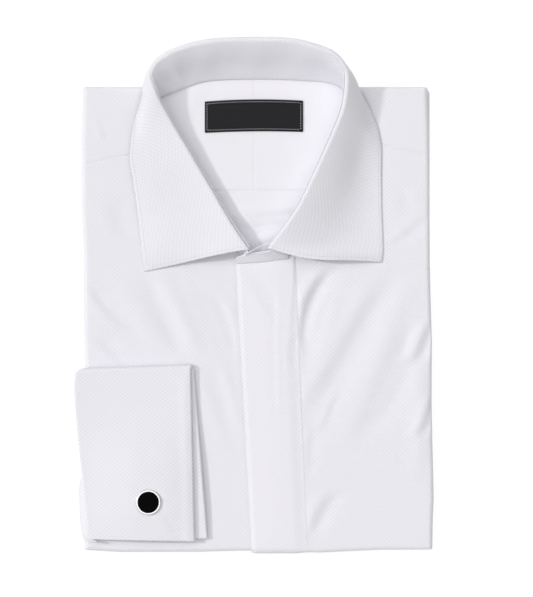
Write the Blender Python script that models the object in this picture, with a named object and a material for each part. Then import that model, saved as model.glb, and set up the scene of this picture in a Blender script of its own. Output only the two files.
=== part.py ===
"""A long sleeve dress shirt with French cuffs, folded flat and lying on its back.

X runs across the shirt, +Y towards the collar, +Z up. The surface it lies on is z = 0.
Left and right are the wearer's, so the wearer's right side is at -X.
Sizes below are in millimetres, and one function turns them into metres.
"""

import math

import bpy
import numpy as np

MM = 0.001

# Folded body: the outline of the packet as folded, and the heights of its layers.
BODY_TOP = 137.1          # Y of the shoulder fold
BODY_HEM = -167.8         # Y of the fold at the bottom
HEM_SLANT = 0.004         # the bottom fold falls by this much for each mm of X
LEFT_EDGE = (-113.3, -110.7)   # X of the wearer's right side fold, at BODY_TOP and at BODY_HEM
RIGHT_EDGE = (115.0, 117.9)    # X of the wearer's left side fold, at BODY_TOP and at BODY_HEM
FRONT_TOP = 12.0          # z of the cloth on top
SIDE_ROLL = 4.0           # outer radius where a panel rolls over an edge
SKIRT = 3.4               # straight length below the roll
CORNER_POWER = 5.0        # how square the packet's corners are

# Cloth and clearances.
CLOTH = 1.2
COLLAR_CLOTH = 1.0        # the leaf and the stand
SEAM_GAP = 0.3
LAP = 1.5                 # one layer lying on another: cloth and its gap
LAP_SLOPE = (10.5, 26.0)  # X where the raised left front starts to come down, and the width of its slope

# The folded core of hidden layers, and the layers that show inside the neck.
CORE_TOP = 9.0
CORE_RINGS = ((1.2, 0.0, 1), (0.4, 0.9, 1), (0.9, 2.0, 1), (0.5, 2.9, 1), (1.3, 3.7, 1), (2.4, 3.8, 0),
              (2.3, 5.6, 0), (2.5, 7.6, 0), (3.6, CORE_TOP, 0))   # inset, z, and 1 where the sleeve tucks in
CORE_CORNER = 4.0         # radius of its corners, each drawn by this many points
CORE_CORNER_POINTS = 5
BACK_TOP = 10.5
BACK_INSET = 4.2
INNER_SEAM_Y = 69.5       # back yoke seam, seen through the neck
INNER_TOP_Y = 139.6       # upper end of the inner yoke, under the collar stand
INNER_HALF_WIDTH = 65.0

# Front closure.
FLY_LEFT = (-12.3, -1.6)      # X of the fly's free edge, at its top and at the hem
FLY_RIGHT = (26.7, 35.0)      # X of the fly's stitched edge, at its top and at the hem
FLY_TOP_Y = 21.6
FLY_TOP_SLANT = 0.09          # its top edge rises to the right by this much for each mm of X
FLY_SLANT_LENGTH = 30.0
UNDERLAP_X = 9.0              # how far the right front runs under the left one

# Yoke seams on the shoulders: y = base - slope * |x|.
YOKE_SLOPE = 0.2
YOKE_BASE_RIGHT_SIDE = 108.8
YOKE_BASE_LEFT_SIDE = 115.2

# Necklines: the inner edge of each panel, as rows of y and x.
NECK_RIGHT_FRONT = ((28.5, UNDERLAP_X), (34.0, -12.0), (41.0, -20.0), (68.6, -34.8), (92.8, -48.8), (98.0, -53.0))
NECK_LEFT_FRONT = ((2.0, -11.2), (22.8, 14.0), (28.5, 19.0), (34.0, 22.3), (52.0, 33.2), (78.5, 45.2), (104.0, 55.6))
NECK_FOOT_Y = 22.0
FRONT_STEPS = 20
NECK_ROWS = (22.8, 25.0, 28.5, 34.0, 41.0, 52.0, 66.0, 80.0, 92.0, 104.0)
YOKE_NECK_RIGHT = ((96.0, -53.0), (104.0, -59.5), (116.0, -66.5), (128.0, -68.5), (140.0, -67.0))
YOKE_NECK_LEFT = ((101.0, 55.5), (108.0, 59.7), (118.0, 65.3), (128.0, 66.3), (140.0, 66.0))
YOKE_FOOT_Y = 101.0       # nominal Y of a yoke's lowest row, before it leans onto the seam
YOKE_STEPS = 6

# Soft folds on the fronts: a ridge from one point to the other, with its height and half width.
FOLD_COLUMNS = ("x1", "y1", "x2", "y2", "height", "half_width")
FOLDS = (
    (58.0, 12.0, 40.0, -28.0, 1.2, 9.0),
    (88.0, 8.0, 52.0, -62.0, 1.3, 11.0),
    (112.0, -12.0, 76.0, -70.0, 1.2, 10.0),
    (104.0, -92.0, 66.0, -122.0, 0.9, 9.0),
    (70.0, 12.0, 60.0, -8.0, 0.8, 8.0),
    (-74.0, 10.0, -52.0, -38.0, 1.0, 10.0),
    (-46.0, 10.0, -18.0, -52.0, 0.9, 9.0),
)

# Collar: one row for each section, from the wearer's right front round the back to the left front.
# The seam joins the stand to the body, the fold is the top of the roll, the edge is the leaf's edge.
# flat is 1 where the edge lies on the shirt and 0 where it hangs; swell bows the leaf, in degrees.
COLLAR_COLUMNS = ("seam_x", "seam_y", "seam_z", "fold_x", "fold_y", "fold_z",
                  "edge_x", "edge_y", "edge_z", "flat", "swell")
COLLAR = (
    (-7.1, 24.3, 13.2, -4.0, 27.9, 21.5, -72.2, 14.5, 13.6, 1.0, 6.0),
    (-20.5, 41.5, 12.9, -15.6, 45.0, 21.5, -73.9, 28.4, 13.6, 1.0, 6.0),
    (-37.0, 68.6, 12.9, -31.0, 71.4, 21.0, -76.5, 52.8, 13.6, 1.0, 6.0),
    (-51.0, 92.8, 12.9, -44.4, 94.3, 22.5, -79.5, 75.9, 13.6, 1.0, 6.0),
    (-64.0, 116.3, 12.9, -58.6, 118.6, 26.5, -81.5, 94.3, 13.6, 0.9, 6.0),
    (-64.3, 128.0, 12.6, -65.9, 133.8, 30.0, -78.6, 114.1, 13.8, 0.7, 6.0),
    (-57.4, 133.0, 12.2, -68.4, 145.4, 32.0, -74.2, 130.8, 15.0, 0.3, 8.0),
    (-53.2, 135.2, 12.0, -65.5, 151.3, 33.2, -72.4, 138.4, 12.6, 0.1, 8.0),
    (-47.5, 137.3, 11.8, -58.6, 156.8, 34.2, -66.9, 145.9, 8.8, 0.0, 8.0),
    (-36.0, 140.2, 11.4, -41.9, 163.4, 35.0, -49.4, 151.7, 3.0, 0.0, 8.0),
    (-3.0, 140.9, 11.4, -2.9, 167.1, 35.0, -3.0, 154.4, 1.5, 0.0, 6.0),
    (33.3, 140.4, 11.4, 36.4, 163.8, 35.0, 42.0, 151.7, 3.0, 0.0, 8.0),
    (46.5, 138.6, 11.8, 53.4, 156.3, 35.0, 59.8, 143.4, 9.5, 0.0, 8.0),
    (55.1, 135.3, 12.2, 60.3, 145.9, 34.5, 71.4, 131.2, 16.0, 0.2, 6.0),
    (61.5, 130.0, 12.6, 60.6, 136.1, 34.0, 78.0, 118.7, 15.0, 0.4, 3.0),
    (62.5, 117.0, 12.9, 57.7, 119.4, 33.0, 83.2, 98.9, 14.2, 0.5, 0.0),
    (57.3, 104.4, 12.9, 52.3, 106.0, 32.0, 83.2, 81.1, 14.0, 0.6, 0.0),
    (46.5, 77.8, 12.9, 40.5, 79.7, 29.0, 83.5, 56.1, 14.0, 0.8, 2.0),
    (34.5, 51.6, 12.9, 27.9, 54.3, 26.0, 84.3, 36.3, 14.0, 0.9, 4.0),
    (23.8, 34.0, 13.8, 17.3, 36.5, 23.5, 84.3, 27.2, 14.0, 1.0, 5.0),
    (18.9, 23.4, 15.9, 12.4, 28.0, 22.5, 83.6, 20.7, 14.0, 1.0, 5.0),
)
# The band runs on past the leaf at both ends, the right end inside and the left end on top.
# These rows have the first six columns.
BAND_INNER_END = (
    (11.0, 29.0, 15.2, 13.0, 35.3, 19.6),
    (4.0, 26.5, 15.0, 5.5, 32.8, 20.2),
)
BAND_OUTER_END = (
    (12.0, 22.9, 15.9, 6.3, 28.4, 21.5),
    (4.0, 22.2, 15.9, -0.5, 27.4, 20.3),
    (-4.0, 21.7, 15.9, -7.6, 26.1, 19.2),
    (-9.0, 21.4, 15.9, -11.2, 24.9, 18.6),
    (-12.0, 21.3, 15.9, -12.7, 22.9, 18.2),
)
BAND_END_STEPS = 8        # sections along each of the band's free ends
STAND_RUNGS = 4
LEAF_INSET = 1.3          # the leaf stops this far from the band's two front corners
LEAF_SLANT = (1.03, 0.4)  # how far the sections turn along the fold towards their edge points, at the two fronts
SLANT_FADE = (0.2, 0.07)  # no slant within this share of the middle, and full slant after the next
LEAF_STEPS = 50           # sections along the leaf, then rungs round its roll and down its fall
ROLL_RUNGS = 6
LEAF_RUNGS = 9
ROLL_TURN = (math.radians(70), math.radians(176))   # least and most that the leaf turns over the stand
LEAVE_SHARE, ARRIVE_SHARE = 0.35, 0.3   # how far the fall keeps its direction at its two ends
ROLL_INNER = 0.85         # radius inside the roll, round the top of the stand
ROLL_OUTER = ROLL_INNER + COLLAR_CLOTH
LEAF_START = 1.2          # how far the leaf runs down inside the stand

# Label on the inner yoke.
LABEL_CENTRE = (-0.4, 117.4)
LABEL_SIZE = (64.6, 20.4)
LABEL_THICKNESS = 0.8

# French cuff: a flattened tube of folded-back cuff cloth, open along its lower edge.
CUFF_TOP_Y = -47.0        # Y of the fold at its upper side
CUFF_LOWER_Y = -162.0     # Y of the two kissing edges
CUFF_UPPER_Y = -160.6
CUFF_HAND_UPPER = (-42.0, -39.8)   # X of the hand end on top, at the fold and at the kissing edge
CUFF_HAND_LOWER = (-40.0, -32.2)   # X of the hand end below
CUFF_SLEEVE_UPPER = (-115.6, -109.4)   # X of the free edge on top
CUFF_SLEEVE_LOWER = -107.0
CUFF_SEAM_X = -104.0      # where the sleeve is sewn to the inner ply
CUFF_STACK = 2 * CLOTH + SEAM_GAP      # two plies and the gap between them
CUFF_REST = FRONT_TOP + SEAM_GAP
CUFF_SPACE = 0.6          # between the two halves
CUFF_LIFT = 4.3           # the toggle below raises this part
LIFT_WIDTH = 19.0         # the lift grows over this width from the seam,
LIFT_Y = (-54.0, 66.0)    # and from this Y over this length

# Sleeve, flattened, rolling from under the packet over its side to the cuff.
SLEEVE_THICK = 3.0
SLEEVE_OUTER_X = -117.6
SLEEVE_TUCK_X = -98.0     # where it goes into the core
SLEEVE_Y = (-161.6, -51.4)

# Cuff link.
LINK_AT = (-70.3, -136.9)
LINK_RADIUS = 8.3
LINK_FACE_RADIUS = 7.1
LINK_HEIGHT = 2.4
POST_RADIUS = 1.4
POST_HOLE = 1.9
TOGGLE_RADIUS = 1.8
TOGGLE_LENGTH = 17.0
TOGGLE_TURN = math.radians(35.0)
FACE_SEAT = 0.9           # depth of the face's seat above the bezel's underside


# ---------------------------------------------------------------- small tools

def clear_scene():
    for thing in list(bpy.data.objects):
        bpy.data.objects.remove(thing)


def material(name, colour, roughness, metallic=0.0):
    made = bpy.data.materials.new(name)
    made.use_nodes = True
    shader = made.node_tree.nodes["Principled BSDF"]
    shader.inputs["Base Color"].default_value = (*colour, 1.0)
    shader.inputs["Roughness"].default_value = roughness
    shader.inputs["Metallic"].default_value = metallic
    return made


def add_object(name, vertices, faces, finish):
    mesh = bpy.data.meshes.new(name)
    mesh.from_pydata([tuple(v * MM) for v in vertices], [], faces)
    mesh.materials.append(finish)
    mesh.update()
    mesh.shade_smooth()
    mesh.set_sharp_from_angle(angle=math.radians(40))
    made = bpy.data.objects.new(name, mesh)
    bpy.context.scene.collection.objects.link(made)
    return made


def grid_faces(rows, columns, flip=False):
    faces = []
    for i in range(rows - 1):
        for j in range(columns - 1):
            a = i * columns + j
            face = (a, a + 1, a + columns + 1, a + columns)
            faces.append(face[::-1] if flip else face)
    return faces


def sheet(name, points, finish, thickness=CLOTH, offset=-1.0, flip=False):
    """A wall of cloth: points is a grid (rows, columns, 3) whose faces look outwards."""
    rows, columns, _ = points.shape
    made = add_object(name, points.reshape(-1, 3), grid_faces(rows, columns, flip), finish)
    wall = made.modifiers.new("cloth thickness", "SOLIDIFY")
    wall.thickness = thickness * MM
    wall.offset = offset
    wall.use_even_offset = True
    wall.use_quality_normals = True
    return made


def smooth_step(value):
    held = np.clip(value, 0.0, 1.0)
    return held * held * (3.0 - 2.0 * held)


def columns(table, *wanted):
    return table[:, [COLLAR_COLUMNS.index(name) for name in wanted]]


def unit(vectors):
    return vectors / np.linalg.norm(vectors, axis=-1, keepdims=True)


def smooth_curve(table, way, at):
    """Rows of a table joined by a smooth curve, where way is each row's place, read at the places in at."""
    span = np.diff(way)[:, None]
    rise = np.diff(table, axis=0) / span
    slope = np.empty_like(table)
    slope[0], slope[-1] = rise[0], rise[-1]
    slope[1:-1] = (rise[1:] * span[:-1] + rise[:-1] * span[1:]) / (span[1:] + span[:-1])
    i = np.clip(np.searchsorted(way, at, side="right") - 1, 0, len(span) - 1)
    t = ((at - way[i]) / span[i, 0])[:, None]
    return ((2 * t**3 - 3 * t**2 + 1) * table[i] + (t**3 - 2 * t**2 + t) * span[i] * slope[i]
            + (3 * t**2 - 2 * t**3) * table[i + 1] + (t**3 - t**2) * span[i] * slope[i + 1])


def between(pair, share):
    return pair[0] + (pair[1] - pair[0]) * share


def edge_at(rows, y):
    return np.interp(y, [row[0] for row in rows], [row[1] for row in rows])


# ---------------------------------------------------------------- the body's surface

def down_share(y):
    return (BODY_TOP - np.asarray(y, dtype=float)) / (BODY_TOP - BODY_HEM)


def flat_limits(x, y):
    """X and Y where the flat top ends and the roll over each edge begins."""
    share = down_share(y)
    return (between(LEFT_EDGE, share) + SIDE_ROLL, between(RIGHT_EDGE, share) - SIDE_ROLL,
            BODY_HEM - HEM_SLANT * np.asarray(x) + SIDE_ROLL, BODY_TOP - SIDE_ROLL)


def fold_height(x, y):
    """Soft ridges: each is a rounded hill along its line, fading at both ends."""
    height = np.zeros_like(x)
    for row in FOLDS:
        fold = dict(zip(FOLD_COLUMNS, row))
        way_x, way_y = fold["x2"] - fold["x1"], fold["y2"] - fold["y1"]
        share = ((x - fold["x1"]) * way_x + (y - fold["y1"]) * way_y) / (way_x**2 + way_y**2)
        held = np.clip(share, 0.0, 1.0)
        off = np.hypot(x - fold["x1"] - held * way_x, y - fold["y1"] - held * way_y)
        fade = np.sin(np.pi * np.clip(0.1 + 0.8 * held, 0.0, 1.0))
        height = np.maximum(height, fold["height"] * fade * np.exp(-(off / fold["half_width"])**2))
    beside_fly = np.maximum(smooth_step((FLY_LEFT[0] - 2.0 - x) / 10.0), smooth_step((x - FLY_RIGHT[1]) / 8.0))
    return height * beside_fly


def on_body(x, y, lift=0.0, folds=True):
    """The cloth point for flat coordinates x, y: past an edge it rolls over and hangs down."""
    x, y = np.broadcast_arrays(np.asarray(x, dtype=float), np.asarray(y, dtype=float))
    low_x, high_x, low_y, high_y = flat_limits(x, y)
    over_x = np.maximum(0, x - high_x) - np.maximum(0, low_x - x)
    over_y = np.maximum(0, y - high_y) - np.maximum(0, low_y - y)
    over = (np.abs(over_x)**CORNER_POWER + np.abs(over_y)**CORNER_POWER)**(1 / CORNER_POWER)
    turn = np.minimum(over / SIDE_ROLL, math.pi / 2)
    drop = np.maximum(0, over - SIDE_ROLL * math.pi / 2)
    radius = SIDE_ROLL + lift
    share = radius * np.sin(turn) / np.maximum(over, 1e-9)
    z = FRONT_TOP - SIDE_ROLL + radius * np.cos(turn) - drop
    if folds:
        z = z + fold_height(x, y) * np.cos(turn)**2
    return np.stack([x - over_x + over_x * share, y - over_y + over_y * share, z], axis=-1)


def roll_steps():
    """How far past the flat the columns of a rolled edge lie."""
    quarter = SIDE_ROLL * math.pi / 2
    return [quarter * k / 4 for k in range(1, 5)] + [quarter + SKIRT]


def fly_rise(x):
    """The left front is raised where it lies on the right front."""
    start, width = LAP_SLOPE
    return LAP * (1.0 - smooth_step((x - start) / width))


# ---------------------------------------------------------------- body panels

def core_ring(inset, notched):
    """One outline of the core: rounded corners, points along its sides, and the notch for the sleeve."""
    notch = SLEEVE_TUCK_X + 1.0
    top, hem = BODY_TOP - inset, BODY_HEM + inset
    sleeve_top = SLEEVE_Y[1] + 1.0
    along_side = [(y, between(LEFT_EDGE, float(down_share(y))) + inset)
                  for y in (sleeve_top + 5.0, sleeve_top + 1.0, sleeve_top, -80.0, -120.0, -150.0)]
    along = {(1, 1): [(x, top) for x in (72.0, 36.0, 0.0, -36.0, -72.0)],
             (-1, 1): [(side, y) for y, side in along_side],
             (-1, -1): [(x, hem) for x in (-60.0, 0.0, 60.0)],
             (1, -1): []}
    ring = []
    for turn, (x_sign, y_sign) in enumerate(along):
        y = top if y_sign > 0 else hem
        x = between(RIGHT_EDGE if x_sign > 0 else LEFT_EDGE, float(down_share(y))) - x_sign * inset
        for angle in np.radians(90.0 * turn + np.linspace(0.0, 90.0, CORE_CORNER_POINTS)):
            ring.append((x - x_sign * CORE_CORNER + CORE_CORNER * math.cos(angle),
                         y - y_sign * CORE_CORNER + CORE_CORNER * math.sin(angle)))
        ring += along[(x_sign, y_sign)]
    if notched:
        ring = [(max(x, notch) if y <= sleeve_top else x, y) for x, y in ring]
    return ring


def make_core(finish):
    """Hidden layers as one rounded solid, whose rings show their folded edges."""
    vertices = [(x, y, z) for inset, z, notched in CORE_RINGS for x, y in core_ring(inset, notched)]
    count = len(vertices) // len(CORE_RINGS)
    last = len(vertices) - count
    faces = [tuple(range(count))[::-1], tuple(range(last, len(vertices)))]
    for r in range(len(CORE_RINGS) - 1):
        for k in range(count):
            a, b = r * count + k, r * count + (k + 1) % count
            faces.append((a, b, b + count, a + count))
    return add_object("folded_core", np.array(vertices), faces, finish)


def flat_wall(name, x_cuts, y_cuts, top, finish):
    x, y = np.meshgrid(x_cuts, y_cuts)
    points = np.stack([x, y, np.full_like(x, top)], axis=-1)
    return sheet(name, points, finish)


def make_back(finish):
    wide = LEFT_EDGE[1] + BACK_INSET + 0.4, RIGHT_EDGE[0] - BACK_INSET
    return flat_wall("back_panel", np.linspace(*wide, 5),
                     np.linspace(BODY_HEM + BACK_INSET + 0.6, INNER_SEAM_Y - SEAM_GAP, 5), BACK_TOP, finish)


def make_inner_yoke(side, finish):
    """Half of the inner yoke, with its centre seam at x = 0, seen through the neck."""
    x_cuts = np.linspace(SEAM_GAP / 2, INNER_HALF_WIDTH, 6) * (1 if side == "left" else -1)
    return flat_wall("yoke_inner_" + side, np.sort(x_cuts), np.linspace(INNER_SEAM_Y, INNER_TOP_Y, 6),
                     BACK_TOP, finish)


def yoke_seam(x):
    base = np.where(x < 0, YOKE_BASE_RIGHT_SIDE, YOKE_BASE_LEFT_SIDE)
    return base - YOKE_SLOPE * np.abs(x)


def make_yoke(side, finish):
    """The yoke's front part: from the front seam up to the shoulder fold and over it."""
    left = side == "left"
    neck = YOKE_NECK_LEFT if left else YOKE_NECK_RIGHT
    fold_y = BODY_TOP - SIDE_ROLL
    shares = np.linspace(0.0, 1.0, YOKE_STEPS)
    rolls = np.array(roll_steps())
    rows = [(share, 0.0) for share in shares] + [(1.0, past) for past in rolls]
    grid = []
    for share, past in rows:
        nominal = between((YOKE_FOOT_Y, fold_y), share)
        inner = edge_at(neck, nominal)
        outer = flat_limits(0.0, nominal)[1 if left else 0]
        x = np.concatenate([inner + (outer - inner) * shares, outer + rolls * (1 if left else -1)])
        foot = yoke_seam(x) + SEAM_GAP
        grid.append(on_body(x, between((foot, fold_y), share) + past, folds=False))
    return sheet("yoke_" + side, np.array(grid), finish, flip=not left)


def front_rows():
    """Y of the rows of a front panel: its rolled hem, its flat part, and its neck part."""
    hem = BODY_HEM + SIDE_ROLL
    flat = list(np.linspace(hem, NECK_FOOT_Y, FRONT_STEPS))
    return [hem - step for step in reversed(roll_steps())] + flat + list(NECK_ROWS)


def neck_rise(x, y):
    """Y of a row's points: above the neck's foot the rows lean, and the last lies on the yoke seam."""
    share = np.clip((y - NECK_FOOT_Y) / (NECK_ROWS[-1] - NECK_FOOT_Y), 0.0, 1.0)
    return y + share * (yoke_seam(x) - NECK_ROWS[-1])


def make_front_right(finish):
    """Wearer's right front, at -X: it runs under the left front and rolls over the side and hem."""
    shares = np.linspace(0.0, 1.0, 13)
    grid = []
    for y in front_rows():
        inner = edge_at(NECK_RIGHT_FRONT, y)
        outer = flat_limits(0.0, y)[0]
        x = np.concatenate([inner + (outer - inner) * shares, outer - np.array(roll_steps())])
        grid.append(on_body(x, neck_rise(x, y)))
    return sheet("front_right", np.array(grid), finish, flip=True)


def make_front_left(finish):
    """Wearer's left front, at +X: it laps over the right front below the fly."""
    shares = np.linspace(0.0, 1.0, 15)
    grid = []
    for y in front_rows():
        fly_share = np.clip((FLY_TOP_Y - y) / (FLY_TOP_Y - BODY_HEM), 0.0, 1.0)
        inner = max(between(FLY_LEFT, fly_share) + 0.8, edge_at(NECK_LEFT_FRONT, y))
        outer = flat_limits(0.0, y)[1]
        x = np.concatenate([inner + (outer - inner) * shares, outer + np.array(roll_steps())])
        grid.append(on_body(x, neck_rise(x, y), lift=fly_rise(x)))
    return sheet("front_left", np.array(grid), finish)


def make_fly(finish):
    """The fly that hides the buttons: the left front's own points, moved out by one more layer."""
    hem = BODY_HEM + SIDE_ROLL
    rows = [hem - step for step in reversed(roll_steps())] + list(np.linspace(hem, FLY_TOP_Y, 19))
    grid = []
    for y in rows:
        share = np.clip((FLY_TOP_Y - y) / (FLY_TOP_Y - BODY_HEM), 0.0, 1.0)
        x = np.linspace(between(FLY_LEFT, share), between(FLY_RIGHT, share), 8)
        slant = FLY_TOP_SLANT * smooth_step(1.0 - (FLY_TOP_Y - y) / FLY_SLANT_LENGTH)
        grid.append(on_body(x, y + slant * (x - x[0]), lift=fly_rise(x) + LAP))
    return sheet("fly_placket", np.array(grid), finish)


# ---------------------------------------------------------------- collar

def collar_sections():
    """Sections along the band, even along its fold, and those that carry the leaf.

    Three curves meet at the band's two front corners, and the leaf keeps inside the middle one."""
    rows = np.array(COLLAR)
    inner = np.array([*((*row, *COLLAR[0][len(row):]) for row in BAND_INNER_END), COLLAR[0]])
    outer = np.array([COLLAR[-1], *((*row, *COLLAR[-1][len(row):]) for row in BAND_OUTER_END)])
    read = []
    for table in (inner, rows, outer):
        fold = columns(table, "fold_x", "fold_y", "fold_z")
        way = np.concatenate(([0.0], np.cumsum(np.linalg.norm(np.diff(fold, axis=0), axis=1))))
        at = np.linspace(0.0, way[-1], BAND_END_STEPS)
        if table is rows:
            leaf = np.linspace(LEAF_INSET, way[-1] - LEAF_INSET, LEAF_STEPS)
            at = np.concatenate([[0.0], leaf, way[-1:]])
        read.append(smooth_curve(table, way, at))
    return np.concatenate([read[0][:-1], read[1], read[2][1:]]), read[1][1:-1]


def stand_lines(read):
    """The stand's two long edges: its seam, and the centre of the leaf's roll over its top."""
    centre = columns(read, "fold_x", "fold_y", "fold_z") - np.array([0.0, 0.0, ROLL_OUTER])
    return columns(read, "seam_x", "seam_y", "seam_z"), centre


def make_stand(finish):
    seam, centre = stand_lines(collar_sections()[0])
    shares = np.linspace(0.0, 1.0, STAND_RUNGS)[None, :, None]
    points = seam[:, None, :] + (centre - seam)[:, None, :] * shares
    return sheet("collar_stand", points, finish, thickness=COLLAR_CLOTH, offset=0.0)


def make_leaf(finish):
    """The leaf starts inside the stand, rolls over its top, and falls in a curve to its edge.

    Its sections are turned along the fold, so that from above each runs straight to its edge point."""
    read = collar_sections()[1]
    seam, centre = stand_lines(read)
    tangent = unit(np.gradient(centre, axis=0))
    up = centre - seam
    up = unit(up - tangent * np.sum(up * tangent, axis=1, keepdims=True))
    out = np.cross(up, tangent)
    edge = columns(read, "edge_x", "edge_y", "edge_z")
    flat = columns(read, "flat")
    swell = np.radians(columns(read, "swell"))
    reach = edge - centre
    across, rise, along = (np.sum(reach * way, axis=1, keepdims=True) for way in (out, up, tangent))
    turn = np.clip(np.arctan2(across, rise) - swell, *ROLL_TURN)
    share = np.linspace(0.0, 1.0, len(read))[:, None]
    slant = between(LEAF_SLANT, share) * smooth_step((np.abs(share - 0.5) - SLANT_FADE[0]) / SLANT_FADE[1])
    out = out + tangent * slant * along / across
    lines = [centre - out * ROLL_OUTER - up * LEAF_START]
    for angle in turn[None] * np.linspace(0.0, 1.0, ROLL_RUNGS)[:, None, None]:
        lines.append(centre + ROLL_OUTER * (up * np.sin(angle) - out * np.cos(angle)))
    start = lines[-1]
    leaving = unit(up * np.cos(turn) + out * np.sin(turn))
    length = np.linalg.norm(edge - start, axis=1, keepdims=True)
    level = unit(reach * np.array([1.0, 1.0, 0.0]))
    arriving = unit(level * flat - np.array([0.0, 0.0, 1.0]) * (1.0 - flat))
    first, second = start + leaving * length * LEAVE_SHARE, edge - arriving * length * ARRIVE_SHARE
    for t in np.linspace(0.0, 1.0, LEAF_RUNGS)[1:]:
        lines.append((1 - t)**3 * start + 3 * (1 - t)**2 * t * first + 3 * (1 - t) * t * t * second
                     + t**3 * edge)
    return sheet("collar_leaf", np.stack(lines, axis=1), finish, thickness=COLLAR_CLOTH, flip=True)


def make_label(finish):
    """A plain woven label, sewn flat to the inner yoke and bowed a little."""
    x = np.linspace(-0.5, 0.5, 5) * LABEL_SIZE[0]
    y = np.array([-0.5, 0.5]) * LABEL_SIZE[1]
    across, up = np.meshgrid(x, y)
    top = np.full_like(across, BACK_TOP + SEAM_GAP + LABEL_THICKNESS)
    points = np.stack([across + LABEL_CENTRE[0], up + LABEL_CENTRE[1], top], axis=-1)
    return sheet("label", points, finish, thickness=LABEL_THICKNESS)


# ---------------------------------------------------------------- cuff and sleeve

def cuff_lift(x, y):
    """The cuff rests flat at its fold and on the sleeve, and stands up over the toggle."""
    start_y, length = LIFT_Y
    return CUFF_LIFT * smooth_step((x - CUFF_SEAM_X) / LIFT_WIDTH) * smooth_step((start_y - y) / length)


def cuff_path():
    """The tube's inner face in the Y-Z plane: lower half, bend at the fold, upper half.

    Returns y, z, the outward direction, and how far round from the lower to the upper half."""
    low, high = CUFF_REST + CUFF_STACK, CUFF_REST + CUFF_STACK + CUFF_SPACE
    radius, middle = CUFF_SPACE / 2, (low + high) / 2
    bend_y = CUFF_TOP_Y - CUFF_STACK - radius
    rows = [(y, low, 0.0, -1.0, 0.0) for y in np.linspace(CUFF_LOWER_Y, bend_y, 8)]
    for k in range(1, 6):
        angle = -math.pi / 2 + math.pi * k / 6
        rows.append((bend_y + radius * math.cos(angle), middle + radius * math.sin(angle),
                     math.cos(angle), math.sin(angle), k / 6))
    rows += [(y, high, 0.0, 1.0, 1.0) for y in np.linspace(bend_y, CUFF_UPPER_Y, 8)]
    return np.array(rows)


def cuff_points():
    """The folded-back cuff: a U of two plies, its fold at the hand end, carried round the tube."""
    grid = []
    ply_radius = CUFF_STACK / 2
    for y, z, out_y, out_z, half in cuff_path():
        down = (CUFF_TOP_Y - y) / (CUFF_TOP_Y - CUFF_LOWER_Y)
        hand = between((between(CUFF_HAND_LOWER, down), between(CUFF_HAND_UPPER, down)), half)
        free = between((CUFF_SLEEVE_LOWER, between(CUFF_SLEEVE_UPPER, down)), half)
        centre_x = hand - ply_radius
        inner = [(x, 0.0) for x in np.linspace(CUFF_SEAM_X, centre_x, 8)]
        fold = [(centre_x + ply_radius * math.sin(math.pi * k / 6),
                 ply_radius - ply_radius * math.cos(math.pi * k / 6)) for k in range(1, 6)]
        outer = [(x, CUFF_STACK) for x in (*np.linspace(centre_x, CUFF_SEAM_X, 8), free)]
        line = []
        for x, out in inner + fold + outer:
            point_y = y + out_y * out
            line.append((x, point_y, z + out_z * out + float(cuff_lift(x, point_y))))
        grid.append(line)
    return np.array(grid)


def drill(target, centre, radius, low, high):
    """Cuts a round hole along Z through the target."""
    turns = [2 * math.pi * k / 16 for k in range(16)]
    ring = [(centre[0] + radius * math.cos(a), centre[1] + radius * math.sin(a)) for a in turns]
    vertices = [(x, y, low) for x, y in ring] + [(x, y, high) for x, y in ring]
    faces = [tuple(range(16))[::-1], tuple(range(16, 32))]
    faces += [(k, (k + 1) % 16, 16 + (k + 1) % 16, 16 + k) for k in range(16)]
    cutter = add_object(target.name + "_cutter", np.array(vertices), faces, target.data.materials[0])
    cutter.hide_render = True
    cutter.display_type = "WIRE"
    cut = target.modifiers.new("post hole", "BOOLEAN")
    cut.operation = "DIFFERENCE"
    cut.object = cutter


def make_cuff(finish):
    made = sheet("french_cuff", cuff_points(), finish)
    drill(made, LINK_AT, POST_HOLE, FRONT_TOP + 1.0, 40.0)
    return made


def make_sleeve(finish):
    """The flattened sleeve: on top where the cuff is sewn on, round the side, and under the packet."""
    top = CUFF_REST + CLOTH + SEAM_GAP + SLEEVE_THICK
    radius = top / 2
    centre_x = SLEEVE_OUTER_X + radius
    path = [(x, top) for x in np.linspace(CUFF_SEAM_X - SEAM_GAP, centre_x, 3)[:-1]]
    for angle in np.linspace(math.pi / 2, math.pi * 3 / 2, 9):
        path.append((centre_x + radius * math.cos(angle), radius + radius * math.sin(angle)))
    path.append((SLEEVE_TUCK_X, 0.0))
    grid = [[(x, y, z) for x, z in path] for y in np.linspace(*SLEEVE_Y, 8)]
    return sheet("sleeve_right", np.array(grid), finish, thickness=SLEEVE_THICK, flip=True)


# ---------------------------------------------------------------- cuff link

def turned(name, profile, centre, finish, sides=32):
    """A solid turned round a vertical line: profile rows are (radius, z), bottom to top."""
    turns = np.linspace(0, 2 * math.pi, sides, endpoint=False)
    vertices, faces = [], []
    for radius, z in profile:
        vertices += [(centre[0] + radius * math.cos(a), centre[1] + radius * math.sin(a), z) for a in turns]
    for r in range(len(profile) - 1):
        for k in range(sides):
            a, b = r * sides + k, r * sides + (k + 1) % sides
            faces.append((a, b, b + sides, a + sides))
    faces.append(tuple(range(sides))[::-1])
    faces.append(tuple(range((len(profile) - 1) * sides, len(profile) * sides)))
    return add_object(name, np.array(vertices), faces, finish)


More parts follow.
